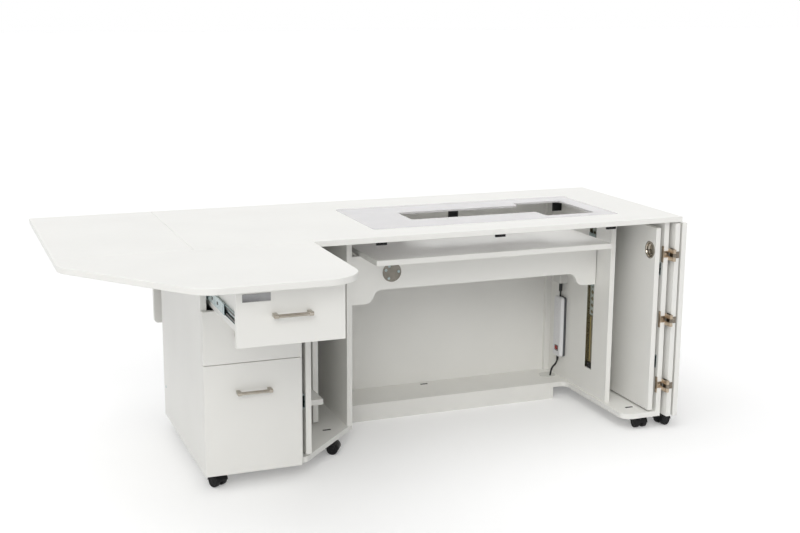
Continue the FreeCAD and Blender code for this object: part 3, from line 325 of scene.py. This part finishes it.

# The pulled-out slide of the top drawer shows its fittings: a bright end plate
# and a black buffer on the middle rail, black plugs in the holes of its web,
# and the ball retainers that lie in the rail on the drawer. The retainers are
# near-black: painted shade for the dark inside that rail.
rail_low, rail_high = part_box("top_drawer_slide_middle")
rail_middle = (rail_low.z + rail_high.z) / 2
end_plate_length = 0.020
end_plate_proud = 0.0008
end_plate_ease = 0.0003
buffer_length = 0.004
plug_length = 0.016
first_plug = 0.075
second_plug = 0.140
buffer_half = 0.0045
buffer_proud = 0.0002
buffer_ease = 0.0001
black_runs = ((end_plate_length, buffer_length), (first_plug, plug_length), (second_plug, plug_length))
end_plates = bmesh.new()
buffers = bmesh.new()
for sense, web in ((-1, rail_low.x), (1, rail_high.x)):
    add_slab(end_plates, (web, rail_low.y, rail_low.z),
             (web + sense * end_plate_proud, rail_low.y + end_plate_length, rail_high.z), end_plate_ease)
    for start, length in black_runs:
        add_slab(buffers, (web, rail_low.y + start, rail_middle - buffer_half),
                 (web + sense * buffer_proud, rail_low.y + start + length, rail_middle + buffer_half),
                 buffer_ease)
make_piece("slide_end_plates", end_plates, zinc, "top_drawer_rails")
make_piece("slide_buffers", buffers, black_nylon, "top_drawer_rails")

# Near-black steel for the ball retainers: painted shade for the dark inside the drawer's rail.
retainer_shade_steel = make_finish("retainer_with_painted_shade", tones=((0.060, 0.055, 0.045), (0.115, 0.105, 0.085)),
                             mottle=(60.0, 4.0), gloss=(0.28, 0.48), scuff=(240.0, 3.0), metallic=0.9)
inner_low, inner_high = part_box("top_drawer_slide_inner")
retainer_length = 0.190
retainer_start = 0.012
retainer_gap = 0.0008
retainer_depth = 0.0042
retainer_rise = 0.0082
retainer_half = 0.0026
retainer_ease = 0.0006
retainer_front = inner_low.y + retainer_start
retainer_back = retainer_front + retainer_length
retainers = bmesh.new()
for sense, open_side in ((1, inner_low.x), (-1, inner_high.x)):
    for middle in (rail_middle - retainer_rise, rail_middle + retainer_rise):
        add_slab(retainers, (open_side + sense * retainer_gap, retainer_front, middle - retainer_half),
                 (open_side + sense * retainer_depth, retainer_back, middle + retainer_half),
                 retainer_ease)
make_piece("slide_retainers", retainers, retainer_shade_steel, "top_drawer")

# The bare plate on the top drawer: a thin anodised strip with a raised rim,
# stuck to the front near its upper left corner.
plate_metal = make_finish("anodised_plate", tones=((0.26, 0.26, 0.265), (0.34, 0.34, 0.345)),
                          mottle=(30.0, 3.0), gloss=(0.32, 0.48), scuff=(500.0, 3.0, (0.05, 1.0, 1.0)),
                          metallic=0.85)
front_low, front_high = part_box("top_drawer_front")
plate_inset = 0.017
plate_drop = 0.019
plate_width = 0.077
plate_height = 0.022
plate_depth = 0.0014
plate_rim = 0.0012
plate_recess = plate_depth * 0.35
plate_ease = 0.0005
plate_left = front_low.x + plate_inset
plate_top = front_high.z - plate_drop
plate = bmesh.new()
add_slab(plate, (plate_left, front_low.y - plate_depth, plate_top - plate_height),
         (plate_left + plate_width, front_low.y, plate_top), plate_ease)
plate_face = min(plate.faces, key=lambda face: face.calc_center_median().y)
bmesh.ops.inset_region(plate, faces=[plate_face], thickness=plate_rim)
bmesh.ops.translate(plate, vec=(0.0, plate_recess, 0.0), verts=plate_face.verts)
make_piece("bare_name_plate", plate, plate_metal, "top_drawer")

# The lift: a white platform on a carriage with a shaped apron. It rides on two
# upright ball slides that are let into the lift walls. A round steel plate with
# four screws covers the fixing in the apron.
give_finish(melamine, "lift_platform", "lift_carriage")
give_finish(zinc, "lift_slide_inner")
cage_steel = make_finish("pale_cage_steel", tones=((0.46, 0.52, 0.52), (0.60, 0.65, 0.64)),
                         mottle=(40.0, 4.0), gloss=(0.28, 0.44), scuff=(220.0, 3.0), metallic=1.0)
give_finish(cage_steel, "lift_slide_cages")

grey_steel = make_finish("grey_lacquered_steel", tones=((0.21, 0.195, 0.165), (0.29, 0.27, 0.235)),
                         mottle=(45.0, 4.0), gloss=(0.34, 0.50), scuff=(220.0, 3.0), metallic=0.6)
disc_low, disc_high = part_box("lift_cover_disc")
disc_middle = (disc_low + disc_high) / 2
disc_radius = (disc_high.x - disc_low.x) / 2
disc_thickness = disc_high.y - disc_low.y
disc_rim = 0.0007
disc_profile = [(0.0, 0.0), (disc_radius, 0.0), (disc_radius, disc_thickness - disc_rim),
                (disc_radius - disc_rim, disc_thickness), (0.0, disc_thickness)]
disc_back = Matrix.Translation((disc_middle.x, disc_high.y, disc_middle.z))
towards_front = Matrix.Rotation(math.pi / 2, 4, "X")
disc = bmesh.new()
add_turned(disc, disc_profile, disc_back @ towards_front)
cover_plate = make_piece("round_cover_plate", disc, grey_steel, "lift")
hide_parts("lift_cover_disc")

disc_screw_ring = 0.0232
disc_screw_angles = (3.0, 116.0, 160.0, 240.0)
disc_screw_radius = 0.0048
disc_screws = bmesh.new()
for angle in disc_screw_angles:
    across = disc_screw_ring * math.cos(math.radians(angle))
    upward = disc_screw_ring * math.sin(math.radians(angle))
    disc_screw_seat = (disc_middle.x + across, disc_low.y, disc_middle.z + upward)
    add_screw(disc_screws, disc_screw_seat, (0, -1, 0), disc_screw_radius)
make_piece("cover_plate_screws", disc_screws, zinc, "lift")

# The fixed rails: zinc-plated for the drawers and the pull-outs, and
# yellow-passivated for the two lift channels. Below the ball cages these have
# thin bright gold strips on their webs, a painted highlight along the
# channels, and a black stop at the foot.


def add_axes(tree, space):
    """X, Y and Z of the shaded point."""
    place = tree.nodes.new("ShaderNodeTexCoord")
    axes = tree.nodes.new("ShaderNodeSeparateXYZ")
    tree.links.new(place.outputs[space], axes.inputs["Vector"])
    return axes.outputs


def add_math(tree, operation, *values):
    """Sum worked out from plain numbers and the outputs of other nodes."""
    node = tree.nodes.new("ShaderNodeMath")
    node.operation = operation
    for end, value in zip(node.inputs, values):
        if isinstance(value, float):
            end.default_value = value
        else:
            tree.links.new(value, end)
    return node.outputs["Value"]


def mix_colours(tree, share, first, second):
    """Blend of two colours, or of two colour outputs."""
    mix = tree.nodes.new("ShaderNodeMix")
    mix.data_type = "RGBA"
    tree.links.new(share, mix.inputs[0])
    ends = [end for end in mix.inputs if end.type == "RGBA"]
    for end, colour in zip(ends, (first, second)):
        if isinstance(colour, tuple):
            end.default_value = (*colour, 1.0)
        else:
            tree.links.new(colour, end)
    return next(end for end in mix.outputs if end.type == "RGBA")


wall_low, wall_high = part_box("lift_walls")
wall_middle = (wall_low.x + wall_high.x) / 2
wall_reach = (wall_high.x - wall_low.x) / 2
olive_tones = ((0.17, 0.155, 0.105), (0.30, 0.275, 0.20))
rail_finish = start_finish("plated_rails", metallic=1.0)
rail_tree = rail_finish.node_tree
rail_x = add_axes(rail_tree, "Object")["X"]
rail_away = add_math(rail_tree, "ABSOLUTE", add_math(rail_tree, "SUBTRACT", rail_x, wall_middle))
rail_of_lift = add_math(rail_tree, "LESS_THAN", rail_away, wall_reach)
rail_mottle = add_noise(rail_finish, scale=25.0, detail=4.0)
rail_zinc = mix_colours(rail_tree, rail_mottle, *zinc_tones)
rail_olive = mix_colours(rail_tree, rail_mottle, *olive_tones)
rail_tone = mix_colours(rail_tree, rail_of_lift, rail_zinc, rail_olive)
rail_tree.links.new(rail_tone, shader_of(rail_finish).inputs["Base Color"])
add_gloss_change(rail_finish, scuff=(200.0, 3.0), smooth=0.22, dull=0.40)
give_finish(rail_finish, "slide_outer_members")

# Bright gold for the strips on the channel webs: a painted highlight.
highlight_gold = make_finish("painted_channel_highlight", tones=((0.48, 0.37, 0.14), (0.74, 0.60, 0.30)),
                   mottle=(30.0, 4.0, (1.0, 1.0, 0.1)), gloss=(0.26, 0.46), scuff=(260.0, 3.0),
                   metallic=0.9)
lift_wall = 0.018
channel_depth = 0.0085
channel_from_front = 0.2995
channel_rise = 0.090
channel_centre = worktop_low.y + channel_from_front
channel_foot = base_high.z + channel_rise
highlight_offsets = (-0.009, 0.007)
highlight_half = 0.0025
highlight_start = channel_foot + 0.024
highlight_end = channel_foot + 0.190
highlight_proud = 0.00015
highlight_ease = 0.00005
stop_half = 0.014
stop_start = channel_foot + 0.001
stop_end = channel_foot + 0.021
stop_proud = 0.006
stop_ease = 0.0010
# Thin gold strips on each channel web, painted highlight lines.
highlight_strips = bmesh.new()
stops = bmesh.new()
for sense, wall_face in ((1, wall_high.x - lift_wall), (-1, wall_low.x + lift_wall)):
    web = wall_face + sense * channel_depth
    for offset in highlight_offsets:
        highlight_y = channel_centre + offset
        add_slab(highlight_strips, (web - sense * highlight_proud, highlight_y - highlight_half, highlight_start),
                 (web, highlight_y + highlight_half, highlight_end), highlight_ease)
    add_slab(stops, (web - sense * stop_proud, channel_centre - stop_half, stop_start),
             (web, channel_centre + stop_half, stop_end), stop_ease)
make_piece("channel_highlight_strips", highlight_strips, highlight_gold, "cabinet")
make_piece("channel_stops", stops, black_nylon, "cabinet")

# The power strip: a two-tone moulded housing screwed to the right lift wall,
# white in front and dark grey behind, with outlets and a red rocker that tips
# in a black frame.


def add_step(tree, value, start, end):
    """Output that rises from 0 to 1 while a value goes from start to end."""
    step = tree.nodes.new("ShaderNodeMapRange")
    step.inputs["From Min"].default_value = start
    step.inputs["From Max"].default_value = end
    tree.links.new(value, step.inputs["Value"])
    return step.outputs["Result"]


def add_two_tones(material, axis, split, blend, before, beyond):
    """Two moulded colours that meet along one axis of the piece."""
    tree = material.node_tree
    passed = add_step(tree, add_axes(tree, "Object")[axis], split, split + blend)
    tree.links.new(mix_colours(tree, passed, before, beyond), shader_of(material).inputs["Base Color"])


strip_low, strip_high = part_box("power_strip")
white_share = 0.55
strip_split = strip_low.x + white_share * (strip_high.x - strip_low.x)
strip_finish = start_finish("two_tone_housing")
add_two_tones(strip_finish, "X", strip_split, blend=0.0006,
              before=(0.78, 0.78, 0.80), beyond=(0.075, 0.075, 0.082))
add_gloss_change(strip_finish, scuff=(250.0, 3.0), smooth=0.30, dull=0.44)
give_finish(strip_finish, "power_strip")

red_plastic = make_finish("red_rocker", tones=((0.27, 0.014, 0.011), (0.36, 0.025, 0.018)),
                          mottle=(80.0, 2.0), gloss=(0.20, 0.32), scuff=(300.0, 2.0))
give_finish(red_plastic, "strip_rocker")

rocker_low, rocker_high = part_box("strip_rocker")
rocker_centre = (rocker_low + rocker_high) / 2
frame_inner = Vector((0.0, 0.0102, 0.0085))
frame_outer = Vector((0.0, 0.0122, 0.0105))
frame_proud = 0.0008
frame_ease = 0.0003
frame_front = strip_low.x - frame_proud
rocker_frame = bmesh.new()
for side in (-1, 1):
    inner_edge = rocker_centre + side * frame_inner
    outer_edge = rocker_centre + side * frame_outer
    add_slab(rocker_frame, (frame_front, inner_edge.y, rocker_centre.z - frame_outer.z),
             (strip_low.x, outer_edge.y, rocker_centre.z + frame_outer.z), frame_ease)
    add_slab(rocker_frame, (frame_front, rocker_centre.y - frame_inner.y, inner_edge.z),
             (strip_low.x, rocker_centre.y + frame_inner.y, outer_edge.z), frame_ease)
make_piece("rocker_frame", rocker_frame, black_nylon, "cabinet")

# The strip's lead: a round cord in a black rubber sheath. It leaves the strip's
# foot through a moulded strain relief and runs down to the grommet in the base.
rubber = make_finish("black_rubber_sheath", tones=((0.009, 0.009, 0.009), (0.020, 0.020, 0.020)),
                     mottle=(90.0, 3.0), gloss=(0.45, 0.65), scuff=(300.0, 3.0))
lead_route = ((0.8308, 0.40365, 0.1460), (0.8308, 0.40365, 0.1181),
              (0.8098, 0.42015, 0.0902), (0.8098, 0.42015, 0.0530))
lead_diameter = 0.007
lead_curve = bpy.data.curves.new("strip_lead", "CURVE")
lead_curve.dimensions = "3D"
lead_line = lead_curve.splines.new("NURBS")
lead_line.points.add(len(lead_route) - 1)
for point, place in zip(lead_line.points, lead_route):
    point.co = (*place, 1.0)
lead_line.order_u = 3
lead_line.use_endpoint_u = True
lead_line.resolution_u = 24
lead_curve.bevel_depth = lead_diameter / 2
lead_curve.bevel_resolution = 6
lead_curve.use_fill_caps = True
lead_curve.materials.append(rubber)
strip_lead = bpy.data.objects.new("strip_lead", lead_curve)
bpy.context.scene.collection.objects.link(strip_lead)
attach(strip_lead, "cabinet")
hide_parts("power_lead")

relief_top = Vector(lead_route[0])
relief_end = Vector((0.82915, 0.40495, 0.1260))
relief_run = relief_end - relief_top
collar_radius = 0.0058
collar_length = 0.004
sleeve_radius = 0.0050
sleeve_start = 0.0055
sleeve_end_radius = 0.0041
lip_radius = 0.0038
lip_length = 0.001
relief_profile = [(0.0, 0.0), (collar_radius, 0.0), (collar_radius, collar_length),
                  (sleeve_radius, sleeve_start), (sleeve_end_radius, relief_run.length - lip_length),
                  (lip_radius, relief_run.length), (0.0, relief_run.length)]
relief = bmesh.new()
add_turned(relief, relief_profile, Matrix.Translation(relief_top) @ aim(relief_run))
lead_relief = make_piece("strip_lead_relief", relief, rubber, "cabinet")

# The lift drive: a plain housing on the right lift wall, moulded in white, with
# a black plug at its foot whose short tail stands on the power strip.
plug_room = 0.056
plug_blend = 0.0002
plug_top = strip_high.z + plug_room
drive_finish = start_finish("drive_housing")
add_two_tones(drive_finish, "Z", plug_top - plug_blend, plug_blend,
              before=(0.014, 0.014, 0.015), beyond=(0.70, 0.695, 0.67))
add_gloss_change(drive_finish, scuff=(260.0, 3.0), smooth=0.40, dull=0.56)
add_relief(drive_finish, grain=(1200.0, 2.0), strength=0.15)
give_finish(drive_finish, "lift_drive")

# The cable grommet: a pale plastic ring with a flange, pressed into the base
# board where the lead goes down.
pale_plastic = make_finish("pale_grommet", tones=((0.66, 0.66, 0.63), (0.72, 0.72, 0.69)),
                           mottle=(60.0, 3.0), gloss=(0.42, 0.55), scuff=(300.0, 3.0))
give_finish(pale_plastic, "cable_grommet")

# The pull-outs in the two bays: white boards on zinc slides. The right one has
# a flush nickel cup pull, the left one carries a shelf.
give_finish(melamine, "right_pullout_board", "left_pullout")
give_finish(zinc, "right_pullout_slides", "left_pullout_slides")
cup_low, cup_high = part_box("right_pullout_cup_pull")
cup_middle = (cup_low + cup_high) / 2
cup_radius = (cup_high.z - cup_low.z) / 2
cup_body = 0.0244
cup_flange = 0.0015
cup_floor = cup_high.x - cup_low.x
cup_profile = [(0.0, cup_floor - 0.0012), (0.0190, cup_floor - 0.0014), (0.0222, cup_floor - 0.0042),
               (0.0232, 0.0022), (0.0246, 0.0003), (0.0262, 0.0), (cup_radius - 0.0012, 0.0004),
               (cup_radius, 0.0011), (cup_radius, cup_flange), (cup_body, cup_flange),
               (cup_body, cup_floor), (0.0, cup_floor)]
cup = bmesh.new()
add_turned(cup, cup_profile, Matrix.Translation((cup_low.x, cup_middle.y, cup_middle.z)) @ along_x)
cup_pull = make_piece("flush_cup_pull", cup, nickel, "right_pullout")
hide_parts("right_pullout_cup_pull")

# The bifold door: two white panels on hinges of brass and dark nickel, folded
# back along the right side. Pan-head screws hold the hinges to the edges of the
# boards.
give_finish(melamine, "door_inner_panel", "door_outer_panel")
give_finish(brass, "door_outer_hinges")
dark_nickel = make_finish("dark_nickel", tones=((0.17, 0.145, 0.115), (0.30, 0.265, 0.22)),
                          mottle=(70.0, 4.0), gloss=(0.22, 0.40), scuff=(260.0, 3.0), metallic=1.0)
give_finish(dark_nickel, "door_inner_hinges")

right_low, right_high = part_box("right_side_panel")
door_low, door_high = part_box("door_inner_panel")
hinge_leaf = 0.0015
hinge_reach = 0.005
hinge_spread = 0.020
upper_hinge = worktop_high.z - 0.131
middle_hinge = worktop_high.z - 0.358
lower_hinge = door_low.z + 0.112
edge_screw_radius = 0.0036
face_screw_radius = 0.0030
side_middle = (right_low.x + right_high.x) / 2
door_middle = (door_low.x + door_high.x) / 2
side_screws = bmesh.new()
door_screws = bmesh.new()
for hinge_z in (upper_hinge, middle_hinge, lower_hinge):
    side_edge_seat = (side_middle, right_low.y - hinge_leaf, hinge_z)
    add_screw(side_screws, side_edge_seat, (0, -1, 0), edge_screw_radius)
    for rise in (-hinge_spread, hinge_spread):
        side_face_seat = (right_low.x - hinge_leaf, right_low.y + hinge_reach, hinge_z + rise)
        add_screw(side_screws, side_face_seat, (-1, 0, 0), face_screw_radius)
    door_edge_seat = (door_middle, door_low.y - hinge_leaf, hinge_z)
    add_screw(door_screws, door_edge_seat, (0, -1, 0), edge_screw_radius)
make_piece("hinge_screws_on_side", side_screws, brass, "cabinet")
make_piece("hinge_screws_on_door", door_screws, dark_nickel, "door_inner")

# The casters: black nylon twin wheels under a hooded fork, each on a stem that
# turns in the board above it. The wheels sit on the ends of a short axle.
caster_turns = (("pedestal", 30.0), ("left_bay", 60.0), ("right_bay", 0.0), ("door", -75.0))
wheel_radius = 0.019
wheel_width = 0.017
axle_radius = 0.003
axle_play = 0.0002
caster_half = 0.0225
web_half = 0.005
web_drop = 0.0006
swivel_offset = 0.015
hood_inner = 0.0200
hood_outer = 0.0218
boss_radius = 0.008
neck_radius = 0.0105
neck_foot = 0.011
neck_foot_radius = 0.0046
neck_waist = 0.0178
neck_waist_radius = 0.0050
neck_start = 0.0206
flange_radius = 0.021
flange_thickness = 0.0025
flange_lower_ease = 0.0008
flange_upper_ease = 0.0006
stem_radius = 0.004
stem_length = 0.012
wheel_profile = [(0.0, 0.0004), (0.0050, 0.0006), (0.0062, 0.0016), (0.0135, 0.0016), (0.0148, 0.0),
                 (0.0165, 0.0), (0.0183, 0.0010), (wheel_radius, 0.0028),
                 (wheel_radius, wheel_width - 0.0028), (0.0183, wheel_width - 0.0010),
                 (0.0165, wheel_width), (0.0, wheel_width)]
axle_profile = [(0.0, -2 * web_half), (axle_radius, -2 * web_half), (axle_radius, 2 * web_half),
                (0.0, 2 * web_half)]
bore_radius = axle_radius + axle_play
boss_profile = [(bore_radius, -web_half), (boss_radius, -web_half), (boss_radius, web_half),
                (bore_radius, web_half), (bore_radius, -web_half)]


def add_arch(shape, inner, outer, half_width, place):
    """Band of square section swept over an axle along X, from front to back."""
    corner_angle = 1.0
    corner_ease = 0.0005
    before = set(shape.verts)
    corners = ((-half_width, -outer), (half_width, -outer), (half_width, -inner), (-half_width, -inner))
    end = shape.faces.new([shape.verts.new((x, y, 0.0)) for x, y in corners])
    bmesh.ops.spin(shape, geom=[end] + list(end.edges) + list(end.verts), cent=(0.0, 0.0, 0.0),
                   axis=(1.0, 0.0, 0.0), angle=-math.pi, steps=28)
    fresh = [vert for vert in shape.verts if vert not in before]
    faces = list({face for vert in fresh for face in vert.link_faces})
    bmesh.ops.recalc_face_normals(shape, faces=faces)
    edges = {edge for face in faces for edge in face.edges}
    sharp = [edge for edge in edges if edge.calc_face_angle(0.0) > corner_angle]
    bmesh.ops.bevel(shape, geom=sharp, offset=corner_ease, affect="EDGES", segments=2, profile=0.5,
                    material=-1)
    fresh = [vert for vert in shape.verts if vert not in before]
    bmesh.ops.transform(shape, matrix=place, verts=fresh)


for name, turn in caster_turns:
    wheels_low, wheels_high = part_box(name + "_caster_wheels")
    fork_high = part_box(name + "_caster_fork")[1]
    axle_place = ((wheels_low.x + wheels_high.x) / 2, (wheels_low.y + wheels_high.y) / 2, wheel_radius)
    axle = Matrix.Translation(axle_place) @ Matrix.Rotation(math.radians(turn), 4, "Z")
    wheels = bmesh.new()
    for side in (-1, 1):
        outer_face = Matrix.Translation((side * caster_half, 0.0, 0.0))
        inwards = Matrix.Rotation(-side * math.pi / 2, 4, "Y")
        add_turned(wheels, wheel_profile, axle @ outer_face @ inwards)
    add_turned(wheels, axle_profile, axle @ along_x)
    wheel_body = name + "_caster_wheels"
    twin_wheels = make_piece(name + "_twin_wheels", wheels, black_nylon, wheel_body)
    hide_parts(name + "_caster_wheels")
    fork = bmesh.new()
    add_arch(fork, hood_inner, hood_outer, caster_half, axle)
    add_arch(fork, bore_radius, hood_outer - web_drop, web_half, axle)
    add_turned(fork, boss_profile, axle @ along_x)
    seat = fork_high.z - stem_length - wheel_radius
    under = seat - flange_thickness
    neck_profile = [(0.0, neck_foot), (neck_foot_radius, neck_foot), (neck_waist_radius, neck_waist),
                    (neck_radius, neck_start), (neck_radius, under),
                    (flange_radius - flange_lower_ease, under), (flange_radius, under + flange_lower_ease),
                    (flange_radius, seat - flange_upper_ease),
                    (flange_radius - flange_upper_ease, seat), (stem_radius, seat),
                    (stem_radius, seat + stem_length), (0.0, seat + stem_length)]
    add_turned(fork, neck_profile, axle @ Matrix.Translation((0.0, swivel_offset, 0.0)))
    fork_body = name + "_caster_fork"
    hooded_fork = make_piece(name + "_hooded_fork", fork, black_nylon, fork_body)
    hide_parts(name + "_caster_fork")

# The stage: a pale floor that keeps the object's shadow and a white surround.
# Metal mirrors the surround as a bright room that is darker low in front. Two
# wide soft lights stand overhead and in front.
white = (1.0, 1.0, 1.0, 1.0)
floor_half = 40.0
floor_roughness = 0.8
floor_sheen = 0.1
floor_colour = (0.86, 0.86, 0.86, 1.0)
floor_glow = 0.20
floor_shape = bmesh.new()
bmesh.ops.create_grid(floor_shape, x_segments=1, y_segments=1, size=floor_half)
floor_mesh = bpy.data.meshes.new("studio_floor")
floor_shape.to_mesh(floor_mesh)
floor_shape.free()
floor = bpy.data.objects.new("studio_floor", floor_mesh)
bpy.context.scene.collection.objects.link(floor)
floor_finish = start_finish("pale_floor")
floor_shader = shader_of(floor_finish)
floor_shader.inputs["Roughness"].default_value = floor_roughness
floor_shader.inputs["Base Color"].default_value = floor_colour
floor_shader.inputs["Specular IOR Level"].default_value = floor_sheen
floor_shader.inputs["Emission Color"].default_value = white
floor_tree = floor_finish.node_tree
floor_rays = floor_tree.nodes.new("ShaderNodeLightPath").outputs
floor_mirrored = add_math(floor_tree, "MAXIMUM", floor_rays["Is Camera Ray"], floor_rays["Is Glossy Ray"])
floor_seen = add_math(floor_tree, "MAXIMUM", floor_mirrored, floor_rays["Is Transmission Ray"])
floor_lift = add_math(floor_tree, "MULTIPLY", floor_seen, floor_glow)
floor_tree.links.new(floor_lift, floor_shader.inputs["Emission Strength"])
floor_mesh.materials.append(floor_finish)


def mix_shaders(tree, share, first, second):
    """Blend of two backgrounds."""
    mix = tree.nodes.new("ShaderNodeMixShader")
    tree.links.new(share, mix.inputs["Fac"])
    tree.links.new(first, mix.inputs[1])
    tree.links.new(second, mix.inputs[2])
    return mix.outputs["Shader"]


surround_strength = 0.375
dark_room = (0.20, 0.20, 0.20)
bright_room = (1.1, 1.1, 1.1)
surround = bpy.data.worlds.new("white_surround")
bpy.context.scene.world = surround
surround.use_nodes = True
surround_tree = surround.node_tree
surround_light = surround_tree.nodes["Background"]
surround_light.inputs["Color"].default_value = white
surround_light.inputs["Strength"].default_value = surround_strength
surround_seen = surround_tree.nodes.new("ShaderNodeBackground")
surround_seen.inputs["Color"].default_value = white
surround_seen.inputs["Strength"].default_value = 1.0
surround_mirrored = surround_tree.nodes.new("ShaderNodeBackground")
surround_mirrored.inputs["Strength"].default_value = 1.0
surround_axes = add_axes(surround_tree, "Generated")
surround_above = add_step(surround_tree, surround_axes["Z"], start=0.10, end=0.55)
surround_behind = add_step(surround_tree, surround_axes["Y"], start=-0.10, end=0.25)
surround_lit = add_math(surround_tree, "MAXIMUM", surround_above, surround_behind)
surround_room = mix_colours(surround_tree, surround_lit, dark_room, bright_room)
surround_tree.links.new(surround_room, surround_mirrored.inputs["Color"])
surround_rays = surround_tree.nodes.new("ShaderNodeLightPath").outputs
surround_clear = add_math(surround_tree, "MAXIMUM", surround_rays["Is Camera Ray"],
                          surround_rays["Is Transmission Ray"])
surround_white = mix_shaders(surround_tree, surround_clear, surround_light.outputs["Background"],
                             surround_seen.outputs["Background"])
surround_all = mix_shaders(surround_tree, surround_rays["Is Glossy Ray"], surround_white,
                           surround_mirrored.outputs["Background"])
surround_tree.links.new(surround_all, surround_tree.nodes["World Output"].inputs["Surface"])


def add_lamp(name, towards_lamp, strength, colour, spread):
    """Very wide soft light from one side of the sky."""
    lamp = bpy.data.lights.new(name, "SUN")
    lamp.energy = strength
    lamp.color = colour
    lamp.angle = math.radians(spread)
    holder = bpy.data.objects.new(name, lamp)
    holder.rotation_euler = (-Vector(towards_lamp)).to_track_quat("-Z", "Y").to_euler()
    bpy.context.scene.collection.objects.link(holder)


add_lamp("overhead_sky_panel", towards_lamp=(-0.34, -0.04, 0.94), strength=1.36,
         colour=(0.985, 0.99, 1.0), spread=60.0)
add_lamp("front_sky_panel", towards_lamp=(-0.34, -0.76, 0.53), strength=1.13,
         colour=(1.0, 0.992, 0.965), spread=36.0)

# The view: the lens, place and tilt of the photograph, measured from the front
# right corner of the worktop.
lens_length = 57.17
view_pitch = 0.21540
view_yaw = 0.37139
view_roll = -0.00608
left_of_corner = 2.409
before_edge = 3.573
above_worktop = 0.742
eye = bpy.data.cameras.new("photo_view")
eye.sensor_width = 36.0
eye.lens = lens_length
camera = bpy.data.objects.new("photo_view", eye)
camera.location = (worktop_high.x - left_of_corner, worktop_low.y - before_edge,
                   worktop_high.z + above_worktop)
aimed = Matrix.Rotation(-view_yaw, 4, "Z") @ Matrix.Rotation(math.pi / 2 - view_pitch, 4, "X")
camera.rotation_euler = (aimed @ Matrix.Rotation(-view_roll, 4, "Z")).to_euler()
bpy.context.scene.collection.objects.link(camera)
bpy.context.scene.camera = camera
bpy.context.scene.view_settings.view_transform = "Standard"
